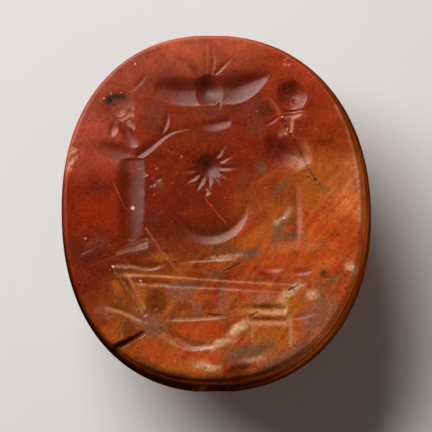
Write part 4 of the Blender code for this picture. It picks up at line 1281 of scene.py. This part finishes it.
def is_ground(x, y, z):
    """Whether a place on the mesh, in millimetres, is on the ground side or in the string hole."""
    depth = THICKNESS - z
    on_side = math.hypot(x, y) > oval_radius(math.atan2(y, x)) - 0.04 and depth < GIRTH_DEPTH + 0.1
    in_bore = math.hypot(x - BORE_X, depth - BORE_DEPTH) < BORE_MOUTH_RADIUS
    return on_side or in_bore


def make_stone():
    """The one piece: carved, drilled, coloured and named."""
    cuts = (winged_disc() + star() + crescent() + left_attendant() + right_attendant() + ground()
            + exergue() + fine_strokes() + edge_slot() + chips() + crack() + vein_lines())
    stone = drilled(stone_mesh(cuts), bore_mesh())
    co = fit_to_solid(stone)
    lay_colours(stone.data, co, cuts)
    stone.data.materials.clear()
    stone.data.materials.append(jasper("red_jasper_polished", 0.24))
    stone.data.materials.append(jasper("red_jasper_ground", 0.0))
    for face in stone.data.polygons:
        face.material_index = int(is_ground(*co[list(face.vertices)].mean(axis=0)))
    stone.data.shade_smooth()
    stone.data.set_sharp_from_angle(angle=math.radians(42))
    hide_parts(NODE)
    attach(stone, "root")


# ---------------------------------------------------------------- stage, light and camera

CAMERA_TILT = 9.65         # degrees from straight down, so that the side shows at the lower right
CAMERA_AZIMUTH = -62       # the way the camera leans, from +X
CAMERA_DISTANCE = 0.35
FRAME_WIDTH = 25.41 * MM   # what the picture's width takes in at the face
AIM = (0.19 * MM, -0.51 * MM)
SENSOR = 36.0


def direction(azimuth, elevation):
    """A unit vector from the stone, by compass angle from +X and height above the floor."""
    a, e = math.radians(azimuth), math.radians(elevation)
    return Vector((math.cos(e) * math.cos(a), math.cos(e) * math.sin(a), math.sin(e)))


def aimed(thing, place, target, up=Vector((0, 1, 0))):
    """Puts a camera or light at a place, looking at the target."""
    back = (place - target).normalized()
    right = up.cross(back).normalized()
    turn = Matrix((right, back.cross(right), back)).transposed()
    thing.matrix_world = Matrix.Translation(place) @ turn.to_4x4()


def make_camera():
    camera = bpy.data.objects.new("camera", bpy.data.cameras.new("camera"))
    bpy.context.scene.collection.objects.link(camera)
    target = Vector((AIM[0], AIM[1], THICKNESS * MM))
    aimed(camera, target + direction(CAMERA_AZIMUTH, 90 - CAMERA_TILT) * CAMERA_DISTANCE, target)
    camera.data.sensor_width = SENSOR
    camera.data.lens = SENSOR * CAMERA_DISTANCE / FRAME_WIDTH
    camera.data.clip_start = 0.01
    camera.data.clip_end = 10
    bpy.context.scene.camera = camera


def make_light(name, azimuth, elevation, distance, width, height, power):
    """A soft light that points at the stone's face, its width level with the floor."""
    light = bpy.data.objects.new(name, bpy.data.lights.new(name, "AREA"))
    bpy.context.scene.collection.objects.link(light)
    light.data.shape = "ELLIPSE"
    light.data.size = width
    light.data.size_y = height
    light.data.energy = power
    target = Vector((0, 0, THICKNESS * MM))
    aimed(light, target + direction(azimuth, elevation) * distance, target, up=Vector((0, 0, 1)))


def make_floor():
    bpy.ops.mesh.primitive_plane_add(size=3, location=(0, 0, 0))
    floor = bpy.context.object
    floor.name = "floor"
    material = bpy.data.materials.new("pale_floor")
    material.use_nodes = True
    shader = material.node_tree.nodes["Principled BSDF"]
    shader.inputs["Base Color"].default_value = (0.78, 0.77, 0.75, 1)
    shader.inputs["Roughness"].default_value = 0.9
    floor.data.materials.append(material)


def make_stage():
    """The floor, a dim room, a large soft light at the upper left and a low one at the lower right."""
    make_floor()
    world = bpy.data.worlds.new("studio")
    world.use_nodes = True
    background = world.node_tree.nodes["Background"]
    background.inputs["Color"].default_value = (1, 0.99, 0.98, 1)
    background.inputs["Strength"].default_value = 0.05
    bpy.context.scene.world = world
    make_light("key", 128, 42, 0.32, 0.36, 0.2, 1.5)
    make_light("fill", -40, 6, 0.5, 0.4, 0.12, 0.5)
    bpy.context.scene.view_settings.view_transform = "Standard"


make_stone()
make_stage()
make_camera()
